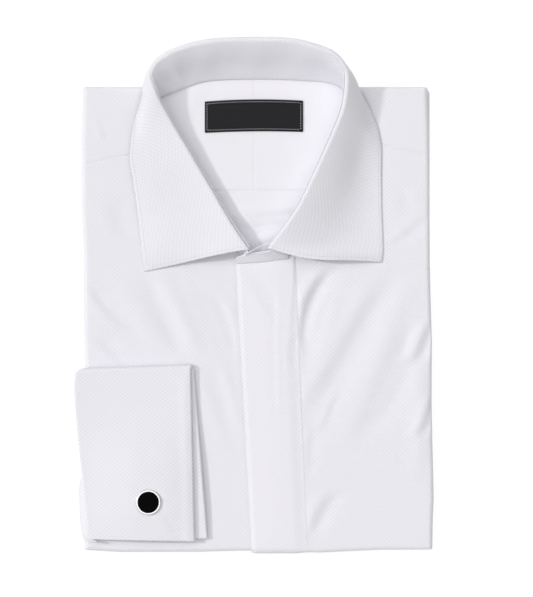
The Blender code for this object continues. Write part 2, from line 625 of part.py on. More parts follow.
def make_link(metal, black):
    """Bezel with its post in one piece, a black face set into it, and a toggle below the cuff."""
    cuff_top = CUFF_REST + 2 * CUFF_STACK + CUFF_SPACE + CUFF_LIFT
    low = cuff_top + SEAM_GAP
    high = low + LINK_HEIGHT
    toggle_z = FRONT_TOP + SEAM_GAP + TOGGLE_RADIUS
    turned("cufflink_body", (
        (POST_RADIUS, toggle_z + TOGGLE_RADIUS + SEAM_GAP), (POST_RADIUS, low),
        (LINK_RADIUS - 0.8, low), (LINK_RADIUS, low + 0.7), (LINK_RADIUS, high - 0.5),
        (LINK_RADIUS - 0.4, high), (LINK_FACE_RADIUS + SEAM_GAP, high),
        (LINK_FACE_RADIUS + SEAM_GAP, low + FACE_SEAT)), LINK_AT, metal)
    turned("cufflink_face", (
        (LINK_FACE_RADIUS, low + FACE_SEAT + SEAM_GAP), (LINK_FACE_RADIUS, high - 0.1),
        (LINK_FACE_RADIUS * 0.6, high + 0.15)), LINK_AT, black)
    sides, vertices, faces = 16, [], []
    rows = ((-0.5, 0.55), (-0.46, 0.85), (-0.4, 1.0), (0.4, 1.0), (0.46, 0.85), (0.5, 0.55))
    for share, size in rows:
        for k in range(sides):
            angle = 2 * math.pi * k / sides
            side = TOGGLE_RADIUS * size * math.cos(angle)
            way = share * TOGGLE_LENGTH
            vertices.append((LINK_AT[0] + way * math.cos(TOGGLE_TURN) - side * math.sin(TOGGLE_TURN),
                             LINK_AT[1] + way * math.sin(TOGGLE_TURN) + side * math.cos(TOGGLE_TURN),
                             toggle_z + TOGGLE_RADIUS * size * math.sin(angle)))
    for r in range(len(rows) - 1):
        for k in range(sides):
            a, b = r * sides + k, r * sides + (k + 1) % sides
            faces.append((a, b, b + sides, a + sides))
    faces.append(tuple(range(sides))[::-1])
    faces.append(tuple(range((len(rows) - 1) * sides, len(rows) * sides)))
    add_object("cufflink_toggle", np.array(vertices), faces, metal)


# ---------------------------------------------------------------- the shirt

def main():
    clear_scene()
    white = (0.82, 0.815, 0.85)
    make_core(material("inside cloth", (0.80, 0.80, 0.83), 0.85))
    make_back(material("back cloth", white, 0.8))
    for side in ("left", "right"):
        make_inner_yoke(side, material("inner yoke cloth " + side, white, 0.8))
        make_yoke(side, material("yoke cloth " + side, white, 0.8))
    make_front_right(material("right front cloth", white, 0.8))
    make_front_left(material("left front cloth", white, 0.8))
    make_fly(material("fly cloth", (0.84, 0.835, 0.865), 0.8))
    make_stand(material("stand cloth", white, 0.75))
    make_leaf(material("leaf cloth", white, 0.75))
    make_label(material("label satin", (0.025, 0.024, 0.03), 0.6))
    make_sleeve(material("sleeve cloth", white, 0.8))
    make_cuff(material("cuff cloth", white, 0.75))
    make_link(material("link metal", (0.78, 0.78, 0.8), 0.2, 1.0), material("link face", (0.004, 0.004, 0.005), 0.2))


main()
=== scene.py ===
import math
import bpy
import numpy as np
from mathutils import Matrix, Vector


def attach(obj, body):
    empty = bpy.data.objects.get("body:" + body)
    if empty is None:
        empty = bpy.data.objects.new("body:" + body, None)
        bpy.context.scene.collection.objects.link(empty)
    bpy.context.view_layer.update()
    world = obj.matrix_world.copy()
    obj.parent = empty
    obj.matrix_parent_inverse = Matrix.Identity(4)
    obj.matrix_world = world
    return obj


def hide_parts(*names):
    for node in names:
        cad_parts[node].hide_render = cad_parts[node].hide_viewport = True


# A folded shirt: +Y to the collar, +Z up, the wearer's right side at -X. Values are millimetres,
# surfaces are worked out as whole arrays, and they become metres when a mesh is made.
mm = 0.001
up = np.array([0.0, 0.0, 1.0])
tiny = 1e-9  # keeps divisions off zero

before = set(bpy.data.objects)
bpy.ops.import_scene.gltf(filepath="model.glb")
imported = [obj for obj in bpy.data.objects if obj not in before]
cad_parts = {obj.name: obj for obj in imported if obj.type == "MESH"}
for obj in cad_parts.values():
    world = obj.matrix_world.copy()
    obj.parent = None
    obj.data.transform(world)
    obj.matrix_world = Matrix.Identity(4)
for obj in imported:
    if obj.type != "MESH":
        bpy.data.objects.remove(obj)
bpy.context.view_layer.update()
print("frame loaded:", len(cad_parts), "nodes")


def smoothStep(value):  # 0 below 0, 1 above 1, 3v^2 - 2v^3 between
    held = np.clip(value, 0.0, 1.0)
    return held * held * (3.0 - 2.0 * held)


def unit(vectors):  # each vector over its own length
    return vectors / np.maximum(np.linalg.norm(vectors, axis=-1, keepdims=True), tiny)


def between(pair, share):  # straight line from the first value to the second
    return pair[0] + (pair[1] - pair[0]) * share


def edgeAt(rows, y):  # straight lines through a table of (place, value)
    table = np.array(rows)
    return np.interp(y, table[:, 0], table[:, 1])


def readCurve(table, way, at):  # cubic through a table's rows, each slope weighted by its neighbours' spans
    span = np.diff(way)[:, None]
    rise = np.diff(table, axis=0) / span
    inner = (rise[1:] * span[:-1] + rise[:-1] * span[1:]) / (span[1:] + span[:-1])
    slope = np.vstack([rise[:1], inner, rise[-1:]])
    i = np.clip(np.searchsorted(way, at, side="right") - 1, 0, len(span) - 1)
    t = ((at - way[i]) / span[i, 0])[:, None]
    return ((2 * t**3 - 3 * t**2 + 1) * table[i] + (t**3 - 2 * t**2 + t) * span[i] * slope[i]
            + (3 * t**2 - 2 * t**3) * table[i + 1] + (t**3 - t**2) * span[i] * slope[i + 1])


def lengths(points):  # running length along the last but one axis
    steps = np.linalg.norm(np.diff(points, axis=-2), axis=-1)
    return np.concatenate([np.zeros_like(steps[..., :1]), np.cumsum(steps, axis=-1)], axis=-1)


def gridNormals(points, sign):  # cross product of the grid's two directions
    return unit(np.cross(np.gradient(points, axis=1), np.gradient(points, axis=0))) * sign


def addMesh(name, vertices, faces, finish, uv=None, angle=60):  # edges sharper than the angle stay sharp
    mesh = bpy.data.meshes.new(name)
    mesh.from_pydata((np.asarray(vertices) * mm).tolist(), [], [list(map(int, face)) for face in faces])
    if uv is not None:
        layer = mesh.uv_layers.new(name="cloth")
        corners = np.empty(len(mesh.loops), dtype=np.int32)
        mesh.loops.foreach_get("vertex_index", corners)
        layer.data.foreach_set("uv", (np.asarray(uv)[corners] * mm).astype(np.float32).ravel())
    mesh.materials.append(finish)
    mesh.validate()
    mesh.shade_smooth()
    mesh.set_sharp_from_angle(angle=math.radians(angle))
    made = bpy.data.objects.new(name, mesh)
    bpy.context.scene.collection.objects.link(made)
    return made


def quads(rows, columns, flip=False):  # corners of every cell of a grid
    index = np.arange(rows * columns).reshape(rows, columns)
    cells = np.stack([index[:-1, :-1], index[:-1, 1:], index[1:, 1:], index[1:, :-1]], axis=-1).reshape(-1, 4)
    return cells[:, ::-1] if flip else cells


def tubeFaces(rows, columns, start=0):  # quads all round between a tube's rows, and a flat cap at each end
    index = start + np.arange(rows * columns).reshape(rows, columns)
    turned = np.roll(index, -1, axis=1)
    sides = np.stack([index[:-1], turned[:-1], turned[1:], index[1:]], axis=-1).reshape(-1, 4)
    return [*sides.tolist(), index[0][::-1].tolist(), index[-1].tolist()]


def clothWall(name, points, uv, finish, thickness, sign=1.0, rimRings=3):
    # the outer grid, the same grid moved in by the thickness, and a half-round rim between them
    rows, columns = points.shape[:2]
    count = rows * columns
    normal = gridNormals(points, sign)
    index = np.arange(count).reshape(rows, columns)
    loop = np.concatenate([index[0], index[1:, -1], index[-1, -2::-1], index[-2:0:-1, 0]])
    top, turned = points.reshape(-1, 3), normal.reshape(-1, 3)
    edge, edgeNormal = top[loop], turned[loop]
    outward = unit(np.cross(np.roll(edge, -1, axis=0) - np.roll(edge, 1, axis=0), edgeNormal)) * sign
    deep = np.broadcast_to(thickness, (rows, columns)).reshape(-1, 1)
    vertices, rings, coords = [top, top - turned * deep], [loop], [uv.reshape(-1, 2)] * 2
    for k in range(1, rimRings + 1):
        angle = math.pi * k / (rimRings + 1)
        vertices.append(edge - edgeNormal * deep[loop] / 2 * (1 - math.cos(angle))
                        + outward * deep[loop] / 2 * math.sin(angle))
        rings.append(2 * count + (k - 1) * len(loop) + np.arange(len(loop)))
        coords.append(uv.reshape(-1, 2)[loop])
    rings.append(loop + count)
    flip = sign < 0
    faces = [quads(rows, columns, flip), quads(rows, columns, not flip) + count]
    for first, second in zip(rings[:-1], rings[1:]):
        strip = np.stack([first, second, np.roll(second, -1), np.roll(first, -1)], axis=-1)
        faces.append(strip[:, ::-1] if flip else strip)
    return addMesh(name, np.concatenate(vertices), np.concatenate(faces), finish, np.concatenate(coords))


def onGrid(points, i, j):  # straight lines between the four nearest points of a grid
    a = np.clip(np.floor(i).astype(int), 0, points.shape[0] - 2)
    b = np.clip(np.floor(j).astype(int), 0, points.shape[1] - 2)
    s, t = (i - a)[..., None], (j - b)[..., None]
    first = between((points[a, b], points[a, b + 1]), t)
    return between((first, between((points[a + 1, b], points[a + 1, b + 1]), t)), s)


def inFrom(points, inset, far=False):  # each row's place at a distance in from one end
    run = lengths(points)
    wanted = run[:, -1] - inset if far else np.full(len(run), inset)
    return np.array([np.interp(want, line, np.arange(len(line))) for want, line in zip(wanted, run)])


def stitchRow(points, sign, i, j, pitch, ends=(0.6, 0.4)):
    # centres, ways and normals of stitches a pitch apart along a line on a grid; ends are shares of a pitch
    line, turned = onGrid(points, i, j), onGrid(gridNormals(points, sign), i, j)
    run = lengths(line)
    at = np.arange(pitch * ends[0], run[-1] - pitch * ends[1], pitch)
    read = [np.stack([np.interp(at, run, part[:, k]) for k in range(3)], axis=-1)
            for part in (line, np.gradient(line, axis=0), turned)]
    return read[0], unit(read[1]), unit(read[2])


def addStitches(name, rows, finish, long=1.1, wide=0.42, high=0.14, sunk=0.02):
    # every stitch is a small spindle: two tips, and three half rings of four points between them
    centre, way, turned = (np.concatenate([row[k] for row in rows])[:, None, :] for k in range(3))
    each = [1, 4, 4, 4, 1]
    along = np.repeat([-0.5, -0.3, 0.0, 0.3, 0.5], each)[:, None] * long
    thick = np.repeat([0.0, 0.8, 1.0, 0.8, 0.0], each)[:, None]
    turn = np.concatenate([[0.0], np.tile(np.linspace(0.0, math.pi, 4), 3), [0.0]])[:, None]
    points = (centre + way * along + unit(np.cross(turned, way)) * thick * np.cos(turn) * wide / 2
              + turned * (thick * np.sin(turn) * high - sunk))
    faces = [(0, k + 2, k + 1) for k in range(3)] + [(13, k + 9, k + 10) for k in range(3)]
    faces += [(start + k, start + k + 1, start + k + 5, start + k + 4) for start in (1, 5) for k in range(3)]
    faces += [(0, 1, 5, 9, 13, 12, 8, 4)]
    count, corners = points.shape[:2]
    repeated = [[corners * n + corner for corner in face] for n in range(count) for face in faces]
    made = addMesh(name, points.reshape(-1, 3), repeated, finish)
    print(name, count, "stitches")
    return made


def seat(piece, node):  # the piece stands for its solid, which is hidden, and rides on the root
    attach(piece, "root")
    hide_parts(node)
    return piece


def nodeMaker(tree):
    # returns a function that adds a node, sets its fields, and links or sets its inputs
    def add(kind, fields=None, inputs=None):
        node = tree.nodes.new(kind)
        for key, value in (fields or {}).items():
            setattr(node, key, value)
        for key, value in (inputs or {}).items():
            if hasattr(value, "is_linked"):
                tree.links.new(value, node.inputs[key])
            else:
                node.inputs[key].default_value = value
        return node
    return add


def maths(add, operation, *values):  # one Math node
    return add("ShaderNodeMath", {"operation": operation}, dict(enumerate(values))).outputs[0]


def newGroup(name, values, outputs):  # a node group that takes a place and some numbers, and gives numbers
    group = bpy.data.node_groups.new(name, "ShaderNodeTree")
    group.interface.new_socket(name="Vector", in_out="INPUT", socket_type="NodeSocketVector")
    for key, value in values.items():
        made = group.interface.new_socket(name=key, in_out="INPUT", socket_type="NodeSocketFloat")
        made.default_value = value
    for key in outputs:
        group.interface.new_socket(name=key, in_out="OUTPUT", socket_type="NodeSocketFloat")
    add = nodeMaker(group)
    return group, add, add("NodeGroupInput").outputs


def diamondWeaveGroup():
    # product of two cosines, one across and one along, is a field of small diamonds; threads add a fine rib
    group, add, given = newGroup("diamondWeave", {"Across": 0.00307, "Along": 0.00264, "Thread": 0.00034,
                                                  "Thread Share": 0.25}, ("Diamond", "Height"))
    xyz = add("ShaderNodeSeparateXYZ", inputs={0: given["Vector"]}).outputs

    def wave(value, period):  # cosine of one turn for each period
        return maths(add, "COSINE", maths(add, "MULTIPLY", maths(add, "DIVIDE", value, period), 2 * math.pi))

    diamond = maths(add, "MULTIPLY", wave(xyz[0], given["Across"]), wave(xyz[1], given["Along"]))
    thread = maths(add, "ADD", wave(maths(add, "ADD", xyz[0], xyz[1]), given["Thread"]),
                   wave(maths(add, "SUBTRACT", xyz[0], xyz[1]), given["Thread"]))
    height = maths(add, "ADD", diamond, maths(add, "MULTIPLY", thread, given["Thread Share"]))
    add("NodeGroupOutput", inputs={"Diamond": diamond, "Height": height})
    return group


def softToneGroup():
    # slow noise, for the small unevenness of pressed cloth: the tone is 1 + strength (noise - 0.5)
    group, add, given = newGroup("softTone", {"Scale": 18.0, "Strength": 0.02}, ("Tone", "Height"))
    noise = add("ShaderNodeTexNoise", inputs={"Vector": given["Vector"], "Scale": given["Scale"],
                                             "Detail": 3.0, "Roughness": 0.5}).outputs[0]
    tone = maths(add, "MULTIPLY_ADD", maths(add, "SUBTRACT", noise, 0.5), given["Strength"], 1.0)
    add("NodeGroupOutput", inputs={"Tone": tone, "Height": noise})
    return group


diamondWeave = diamondWeaveGroup()
softTone = softToneGroup()


def newMaterial(name, settings):  # also gives a function that adds nodes and one that links to the shader
    made = bpy.data.materials.new(name)
    made.use_nodes = True
    tree = made.node_tree
    shader = tree.nodes["Principled BSDF"]
    for key, value in settings.items():
        shader.inputs[key].default_value = value
    return made, nodeMaker(tree), lambda key, value: tree.links.new(value, shader.inputs[key])


def woven(add, look, onCloth):  # the weave at this look's sizes; on cloth it follows the flat pattern
    place = (add("ShaderNodeUVMap", {"uv_map": "cloth"}).outputs[0] if onCloth
             else add("ShaderNodeTexCoord").outputs["Object"])
    return add("ShaderNodeGroup", {"node_tree": diamondWeave}, {
        "Vector": place, "Across": look["across"] * mm, "Along": look["along"] * mm,
        "Thread": look["thread"] * mm, "Thread Share": look["threadShare"]}).outputs


def softly(add, scale, strength):  # the slow noise, fixed to the object
    return add("ShaderNodeGroup", {"node_tree": softTone}, {
        "Vector": add("ShaderNodeTexCoord").outputs["Object"], "Scale": scale, "Strength": strength}).outputs


def bump(add, height, strength, depth, **below):  # one Bump node, on the normal below it if there is one
    return add("ShaderNodeBump", inputs={"Height": height, "Strength": strength, "Distance": depth * mm,
                                         **below}).outputs[0]


def tinted(add, colour, tone):  # colour times tone
    return add("ShaderNodeVectorMath", {"operation": "SCALE"}, {0: colour, "Scale": tone}).outputs[0]


def clothMaterial(name, look):
    # base colour times weave tone times slow tone, with the slow noise and the weave as bumps
    made, add, feed = newMaterial(name, {
        "Roughness": look["roughness"], "Sheen Weight": look["sheen"],
        "Sheen Roughness": look["sheenRoughness"], "Specular IOR Level": look["shine"]})
    weave, soft = woven(add, look, True), softly(add, look["unevenScale"], look["uneven"])
    share = maths(add, "MULTIPLY_ADD", weave["Diamond"], look["contrast"], 1.0)
    feed("Base Color", tinted(add, look["colour"], maths(add, "MULTIPLY", share, soft["Tone"])))
    coarse = bump(add, soft["Height"], look["puckerStrength"], look["pucker"])
    feed("Normal", bump(add, weave["Height"], look["relief"], look["reliefDepth"], Normal=coarse))
    return made


def trimMaterial(name, look, onCloth=False):
    # thread and label: base colour times weave tone, with the weave as bump
    made, add, feed = newMaterial(name, {"Roughness": look["roughness"], "Sheen Weight": look["sheen"],
                                         "Specular IOR Level": look["shine"]})
    weave = woven(add, look, onCloth)
    tone = maths(add, "MULTIPLY_ADD", weave["Diamond"], look["contrast"], 1.0)
    feed("Base Color", tinted(add, look["colour"], tone))
    feed("Normal", bump(add, weave["Height"], look["relief"], look["reliefDepth"]))
    return made


def hardMaterial(name, colour, settings, scale, wear):  # slow noise varies the roughness a little
    made, add, feed = newMaterial(name, {"Base Color": (*colour, 1.0), **settings})
    feed("Roughness", maths(add, "MULTIPLY", softly(add, scale, wear)["Tone"], settings["Roughness"]))
    return made


shirtLook = dict(colour=(0.80, 0.79, 0.835), roughness=0.82, sheen=0.03, sheenRoughness=0.45, shine=0.25,
    across=3.07, along=2.64, thread=0.34, threadShare=0.25, contrast=0.026, uneven=0.02, unevenScale=26.0,
    pucker=0.6, puckerStrength=0.35, relief=0.5, reliefDepth=0.05)
shirtCloth = clothMaterial("shirtCloth", shirtLook)
flyCloth = clothMaterial("flyCloth", {**shirtLook, "colour": (0.828, 0.816, 0.862)})
crispLook = {**shirtLook, "pucker": 0.35, "contrast": 0.048}
collarCloth = clothMaterial("collarCloth", crispLook)
# the stand's second ply is a little lighter than the collar: painted light, which lightens the steep, shaded
# face of the stand
plyClothPaintedLighter = clothMaterial("plyClothPaintedLighter", {**crispLook, "colour": (0.838, 0.827, 0.873), "contrast": 0.04})
# the inside cloth is a little lighter than the shirt: painted light, standing in for light that comes through
# the collar and bounces round inside the neck
insideClothPaintedLighter = clothMaterial("insideClothPaintedLighter", {**shirtLook, "colour": (0.813, 0.803, 0.842), "contrast": 0.012,
                                            "relief": 0.3})
threadLook = dict(roughness=0.6, sheen=0.1, shine=0.5, across=0.3, along=0.3, thread=0.34, threadShare=0.25,
    contrast=0.04, relief=0.3, reliefDepth=0.03)
seamThread = trimMaterial("seamThread", {**threadLook, "colour": (0.58, 0.57, 0.62)})
paleThread = trimMaterial("paleThread", {**threadLook, "colour": (0.74, 0.73, 0.77)})
labelThread = trimMaterial("labelThread", {**threadLook, "colour": (0.78, 0.77, 0.80)})
# close ribs across the label, and a soft satin shine
labelLook = dict(colour=(0.0070, 0.0061, 0.0084), roughness=0.55, sheen=0.04, shine=0.2, across=0.42,
    along=0.36, thread=0.2, threadShare=0.3, contrast=0.2, relief=0.4, reliefDepth=0.05)
labelSatin = trimMaterial("labelSatin", labelLook, True)
linkMetal = hardMaterial("linkMetal", (0.80, 0.80, 0.82), {"Metallic": 1.0, "Roughness": 0.16}, 400.0, 0.8)
linkFace = hardMaterial("linkFace", (0.0012, 0.0012, 0.0014), {"Roughness": 0.24, "Specular IOR Level": 0.02},
                        300.0, 0.5)
print("materials ready:", len(bpy.data.materials))


# the sides are tables of height up the shirt and place; the hem's is of place and how far it hangs lower
body = dict(top=137.4, hem=-168,
    right=((-168, -112.2), (-122, -112.4), (-43, -112.1), (-3, -112.8), (23, -112.6), (50, -113.7),
    (76, -114.1), (109, -114), (132, -113.2)),
    left=((-168, 117.5), (-148, 117.8), (-135, 118.4), (-122, 118.2), (-96, 117.5), (-70, 117),
    (-30, 117.2), (-3, 116.4), (23, 115.8), (76, 115.6), (109, 115.2), (132, 114.3)),
    hemDrop=((-112, 0.4), (-89, 1.7), (-36, 1.6), (-10, 0.9), (18, 0.9), (31, 1.8), (43, 2.2), (63, 1.2),
    (83, 0.3), (116, 0.2)),
    z=12, roll=3, skirt=4.4, squareness=5, cloth=0.6, turnLines=9, skirtLines=4, hemFrom=-110, hemOver=40)
# soft folds: three points of a curve down the cloth, how steep the cloth is on it (positive falls to +X)
# and its half width
folds = dict(
    front=(((53, 24), (34.8, -4), (30.5, -42), 0.70, 5.6), ((87, 18), (57, -36), (30, -84), 0.24, 8),
        ((101, -10), (87, -50), (60, -106), 0.20, 9), ((115, -16), (111, -31), (105, -47), 0.60, 5),
        ((117, -64), (113, -82), (105.5, -97), 0.45, 4.6),
        ((57, -60), (50.5, -74), (43, -92), 0.26, 3.4), ((53, -126), (43, -141), (34, -160), 0.34, 6),
        ((37, -84), (35, -102), (33.5, -122), 0.20, 5), ((112, -34), (114, -76), (111, -130), 0.16, 8),
        ((103, 24), (79, -28), (46, -90), -0.13, 8.5), ((53, 6), (47.5, -15), (34, -50), -0.16, 5.5),
        ((105.5, -21), (102, -32), (97.5, -44), -0.20, 3.2),
        ((108, -23), (95, -56), (77, -92), 0.16, 6.5), ((116, 56), (103, 44), (89, 31), 0.16, 4.5),
        ((100, 75), (104, 60), (108, 48), -0.08, 6), ((-109.5, 10), (-100, -8.6), (-82, -26), 0.30, 4.4),
        ((-77, 9), (-65, -15.2), (-47, -45), 0.06, 5),
        ((-47, 25), (-34.5, -10), (-14.5, -55), 0.07, 4.4),
        ((-27, 6), (-15.5, -17), (-8.8, -46), -0.26, 4.6),
        ((-105.5, -26), (-97, -37), (-84, -48), 0.26, 4.2),
        ((-69, 18), (-57, -6.6), (-40, -44), -0.30, 7.5),
        ((-96, 12), (-82, -12), (-64, -38), -0.12, 6.5),
        ((-38, -40), (-27.5, -68), (-15, -104), 0.11, 4.5),
        ((-26, -42), (-19.5, -62), (-12, -90), -0.18, 4.5),
        ((-104, 119), (-101, 110), (-97, 100), 0.20, 2.6), ((-98, 66), (-93, 50), (-88, 34), 0.10, 8)),
    fly=(((14.6, 24), (14.2, -30), (15.4, -98), -0.11, 2.4), ((-8, 19), (1, 5), (12, -20), 0.12, 6),
        ((27.5, -24), (24, -34), (26, -52), 0.10, 3)),
    back=(((40, 62), (11, 53), (-20, 49), 0.36, 9), ((36, 50), (9, 40.5), (-18, 36), -0.44, 8)),
    yoke=(((18, 141), (15, 137), (12.5, 132), 0.20, 1.3), ((-30, 139), (-37, 128), (-42, 112), 0.10, 5),
        ((44, 100), (36, 88), (25, 73), -0.10, 6)))


def foldRelief(x, y, rows, steepest=3.0, fadeShare=0.3):
    # each fold is a soft S across its curve, -steepness d exp(-(d/half)^2), where d is the distance to the
    # curve through its three points; it fades at both ends
    height = np.zeros_like(x)
    for (x1, y1), (x2, y2), (x3, y3), steep, half in rows:
        t = (y1 - y) / (y1 - y3)
        middle = (y1 - y2) / (y1 - y3)
        bend = (x2 - x1 - (x3 - x1) * middle) / (middle * (middle - 1.0))
        curve = x1 + (x3 - x1) * t + bend * t * (t - 1.0)
        lean = (x3 - x1 + bend * (2.0 * t - 1.0)) / (y3 - y1)
        away = (x - curve) / np.sqrt(1.0 + np.clip(lean, -steepest, steepest)**2)
        fade = smoothStep(t / fadeShare) * smoothStep((1 - t) / fadeShare)
        height -= steep * away * np.exp(-(away / half)**2) * fade
    return height


def hemDrop(x):  # how far the bottom fold hangs lower
    return edgeAt(body["hemDrop"], x)


def flatLimits(x, y):  # where the flat top ends and each roll begins
    return (edgeAt(body["right"], y) + body["roll"], edgeAt(body["left"], y) - body["roll"],
            body["hem"] - hemDrop(x) + body["roll"], body["top"] - body["roll"])


def onBody(x, y, lift=0.0, relief=0.0):
    # flat inside the limits; past them the overrun turns into an arc, then hangs straight down
    x, y = np.broadcast_arrays(np.asarray(x, dtype=float), np.asarray(y, dtype=float))
    lowX, highX, lowY, highY = flatLimits(x, y)
    overX = np.maximum(0, x - highX) - np.maximum(0, lowX - x)
    overY = np.maximum(0, y - highY) - np.maximum(0, lowY - y)
    power = body["squareness"]
    over = (np.abs(overX)**power + np.abs(overY)**power)**(1 / power)
    turn = np.minimum(over / body["roll"], math.pi / 2)
    drop = np.maximum(0, over - body["roll"] * math.pi / 2)
    radius = body["roll"] + lift
    share = radius * np.sin(turn) / np.maximum(over, tiny)
    z = body["z"] - body["roll"] + radius * np.cos(turn) - drop + relief * np.cos(turn)**2
    return np.stack([x - overX + overX * share, y - overY + overY * share, z], axis=-1)


def rollSteps():  # how far past the flat the lines of a rolled edge lie
    quarter = body["roll"] * math.pi / 2
    down = np.linspace(0, body["skirt"], body["skirtLines"])
    return np.concatenate([np.linspace(0, quarter, body["turnLines"])[1:], quarter + down[1:]])


def toHem(x, y):  # rows near the hem follow its line
    return y - hemDrop(x) * smoothStep((body["hemFrom"] - y) / body["hemOver"])


def sewn(name, node, points, flat, finish, thickness, sign=1, rimRings=3):
    # a cloth wall that stands for a solid; the grid comes back for the stitches
    return points, seat(clothWall(name, points, flat, finish, thickness, sign, rimRings), node)


def bodyPanel(name, node, x, y, lift, sign, relief, thickness=body["cloth"], finish=shirtCloth):
    # a cloth wall on the body, whose flat pattern is its plan before it is rolled over
    y = toHem(x, y)
    flat = np.stack(np.broadcast_arrays(x, y), axis=-1)
    return sewn(name, node, onBody(x, y, lift, relief), flat, finish, thickness, sign)


# fronts: fades are the widths over which folds die out on both sides of the fly, tuck is the dip under the
# fly's edge (how far past it, half width, steepness), and hollow is the sunk cloth beside the collar's end
front = dict(neckFoot=22, neckHead=104, step=1.7, columns=70, lap=0.95, lapFrom=10.5, lapOver=26,
    underFly=4, fades=(5, 3), tuck=(1.2, 1.4, 0.26),
    hollow=dict(x=-19, half=13, deep=1.4, y=17.5, over=6),
    rightNeck=((28.5, 9), (34, -12), (41, -20), (68.6, -34.8), (92.8, -48.8), (98, -53)),
    leftNeck=((2, -11.2), (22.8, 14), (28.5, 19), (34, 22.3), (52, 33.2), (78.5, 45.2), (104, 55.6)))
yoke = dict(slope=0.2, rightBase=108.8, leftBase=115.2, gap=0.3, foot=101, rows=26, columns=30,
    rightNeck=((96, -53), (104, -59.5), (116, -66.5), (128, -68.5), (140, -67)),
    leftNeck=((101, 55.5), (108, 59.7), (118, 65.3), (128, 66.3), (140, 66)))
# the fly's two edges are places at its top and bottom; the other pairs are values at its top and, past
# easeOver of its length, further down
fly = dict(freeEdge=(-12.3, -1.6), sewnEdge=(26.7, 35), top=22.6, slant=0.09, slantLength=30, lift=0.95,
    columns=64, rows=120, evenShare=0.4, sewnDrop=(0.62, 0.76), thinning=(0.28, 0.42), freeDrop=0.6,
    freeOver=3, sewnEase=(1.3, 9), easeOver=0.35, easeShare=0.92)


def yokeSeam(x):  # straight seams falling outwards from the neck
    return np.where(x < 0, yoke["rightBase"], yoke["leftBase"]) - yoke["slope"] * np.abs(x)


def frontRows():  # rolled hem, flat part, neck part
    hem = body["hem"] + body["roll"]
    count = int((front["neckHead"] - hem) / front["step"])
    return np.concatenate([hem - rollSteps()[::-1], np.linspace(hem, front["neckHead"], count)])


def flyShare(y):  # 0 at the fly's top, 1 at the bottom fold
    return np.clip((fly["top"] - y) / (fly["top"] - body["hem"]), 0.0, 1.0)


def flyEdges(y):  # straight lines from top to bottom
    return between(fly["freeEdge"], flyShare(y)), between(fly["sewnEdge"], flyShare(y))


def lapLift(x):  # the left front stands on the right front up to its edge, then comes down
    return front["lap"] * (1 - smoothStep((x - front["lapFrom"]) / front["lapOver"]))


def frontRelief(x, y):  # the folds die out under the fly, whose free edge presses the cloth in
    free, sewnEdge = flyEdges(y)
    past, half, steep = front["tuck"]
    beside = x - free + past
    hollow = front["hollow"]
    before, after = front["fades"]
    clear = np.maximum(smoothStep((free - x) / before), smoothStep((x - sewnEdge) / after))
    sunk = hollow["deep"] * np.exp(-((x - hollow["x"]) / hollow["half"])**2)
    return (foldRelief(x, y, folds["front"]) * clear - steep * beside * np.exp(-(beside / half)**2)
            - sunk * smoothStep((y - hollow["y"]) / hollow["over"]))


def toSide(side, inner, heights, columns):  # even columns from the inner edge to the side, then its roll
    turn = 1 if side == "left" else -1
    outer = flatLimits(0, heights)[1 if side == "left" else 0]
    flat = inner + (outer - inner) * np.linspace(0, 1, columns)[None, :]
    return turn, np.concatenate([flat, outer + rollSteps()[None, :] * turn], axis=1)


def makeFront(side):  # from the neck's or the fly's edge to the side; the upper rows lean to the yoke seam
    rows = frontRows()[:, None]
    inner = edgeAt(front[side + "Neck"], rows)
    if side == "left":
        inner = np.maximum(flyEdges(rows)[0] + front["underFly"], inner)
    turn, x = toSide(side, inner, rows, front["columns"])
    lean = np.clip((rows - front["neckFoot"]) / (front["neckHead"] - front["neckFoot"]), 0, 1)
    y = rows + lean * (yokeSeam(x) - front["neckHead"])
    lift = lapLift(x) if side == "left" else 0
    return bodyPanel("front" + side.capitalize(), "front_" + side, x, y, lift, turn, frontRelief(x, y))


def makeFly():
    # columns are closer at both edges; the free edge sinks to the cloth under it, and the sewn edge thins out
    hem = body["hem"] + body["roll"]
    rows = np.concatenate([hem - rollSteps()[::-1], np.linspace(hem, fly["top"], fly["rows"])])[:, None]
    free, sewnEdge = flyEdges(rows)
    shares = np.linspace(0, 1, fly["columns"])[None, :]
    bunched = (1 - fly["evenShare"]) / 2 * (1 - np.cos(math.pi * shares))
    x = free + (sewnEdge - free) * (fly["evenShare"] * shares + bunched)
    down = smoothStep(flyShare(rows) / fly["easeOver"])
    ease = between(fly["sewnEase"], down)
    nearSewn = smoothStep((x - sewnEdge + ease) / (fly["easeShare"] * ease))
    nearFree = 1 - smoothStep((x - free) / fly["freeOver"])
    lift = lapLift(x) + fly["lift"] - fly["freeDrop"] * nearFree - between(fly["sewnDrop"], down) * nearSewn
    slant = fly["slant"] * smoothStep(1 - (fly["top"] - rows) / fly["slantLength"])
    thickness = body["cloth"] - between(fly["thinning"], down) * nearSewn
    y = rows + slant * (x - free)
    return bodyPanel("flyPlacket", "fly_placket", x, y, lift, 1, foldRelief(x, y, folds["fly"]), thickness,
                     flyCloth)


def makeYoke(side):
    # from the yoke seam to the shoulder fold and over it, and from the neck to the side and over it
    heights = np.linspace(0, 1, yoke["rows"])
    onFlat = np.concatenate([heights, np.ones(len(rollSteps()))])[:, None]
    beyond = np.concatenate([np.zeros(len(heights)), rollSteps()])[:, None]
    highY = body["top"] - body["roll"]
    nominal = yoke["foot"] + (highY - yoke["foot"]) * onFlat
    turn, x = toSide(side, edgeAt(yoke[side + "Neck"], nominal), nominal, yoke["columns"])
    foot = yokeSeam(x) + yoke["gap"]
    y = foot + (highY - foot) * onFlat + beyond
    relief = foldRelief(x, y, folds["front"])
    return bodyPanel("yoke" + side.capitalize(), "yoke_" + side, x, y, 0, turn, relief)


_, frontRight = makeFront("right")
_, frontLeft = makeFront("left")
flyPoints, flyPlacket = makeFly()
yokeRightPoints, yokeRight = makeYoke("right")
yokeLeftPoints, yokeLeft = makeYoke("left")
print("body panels made")


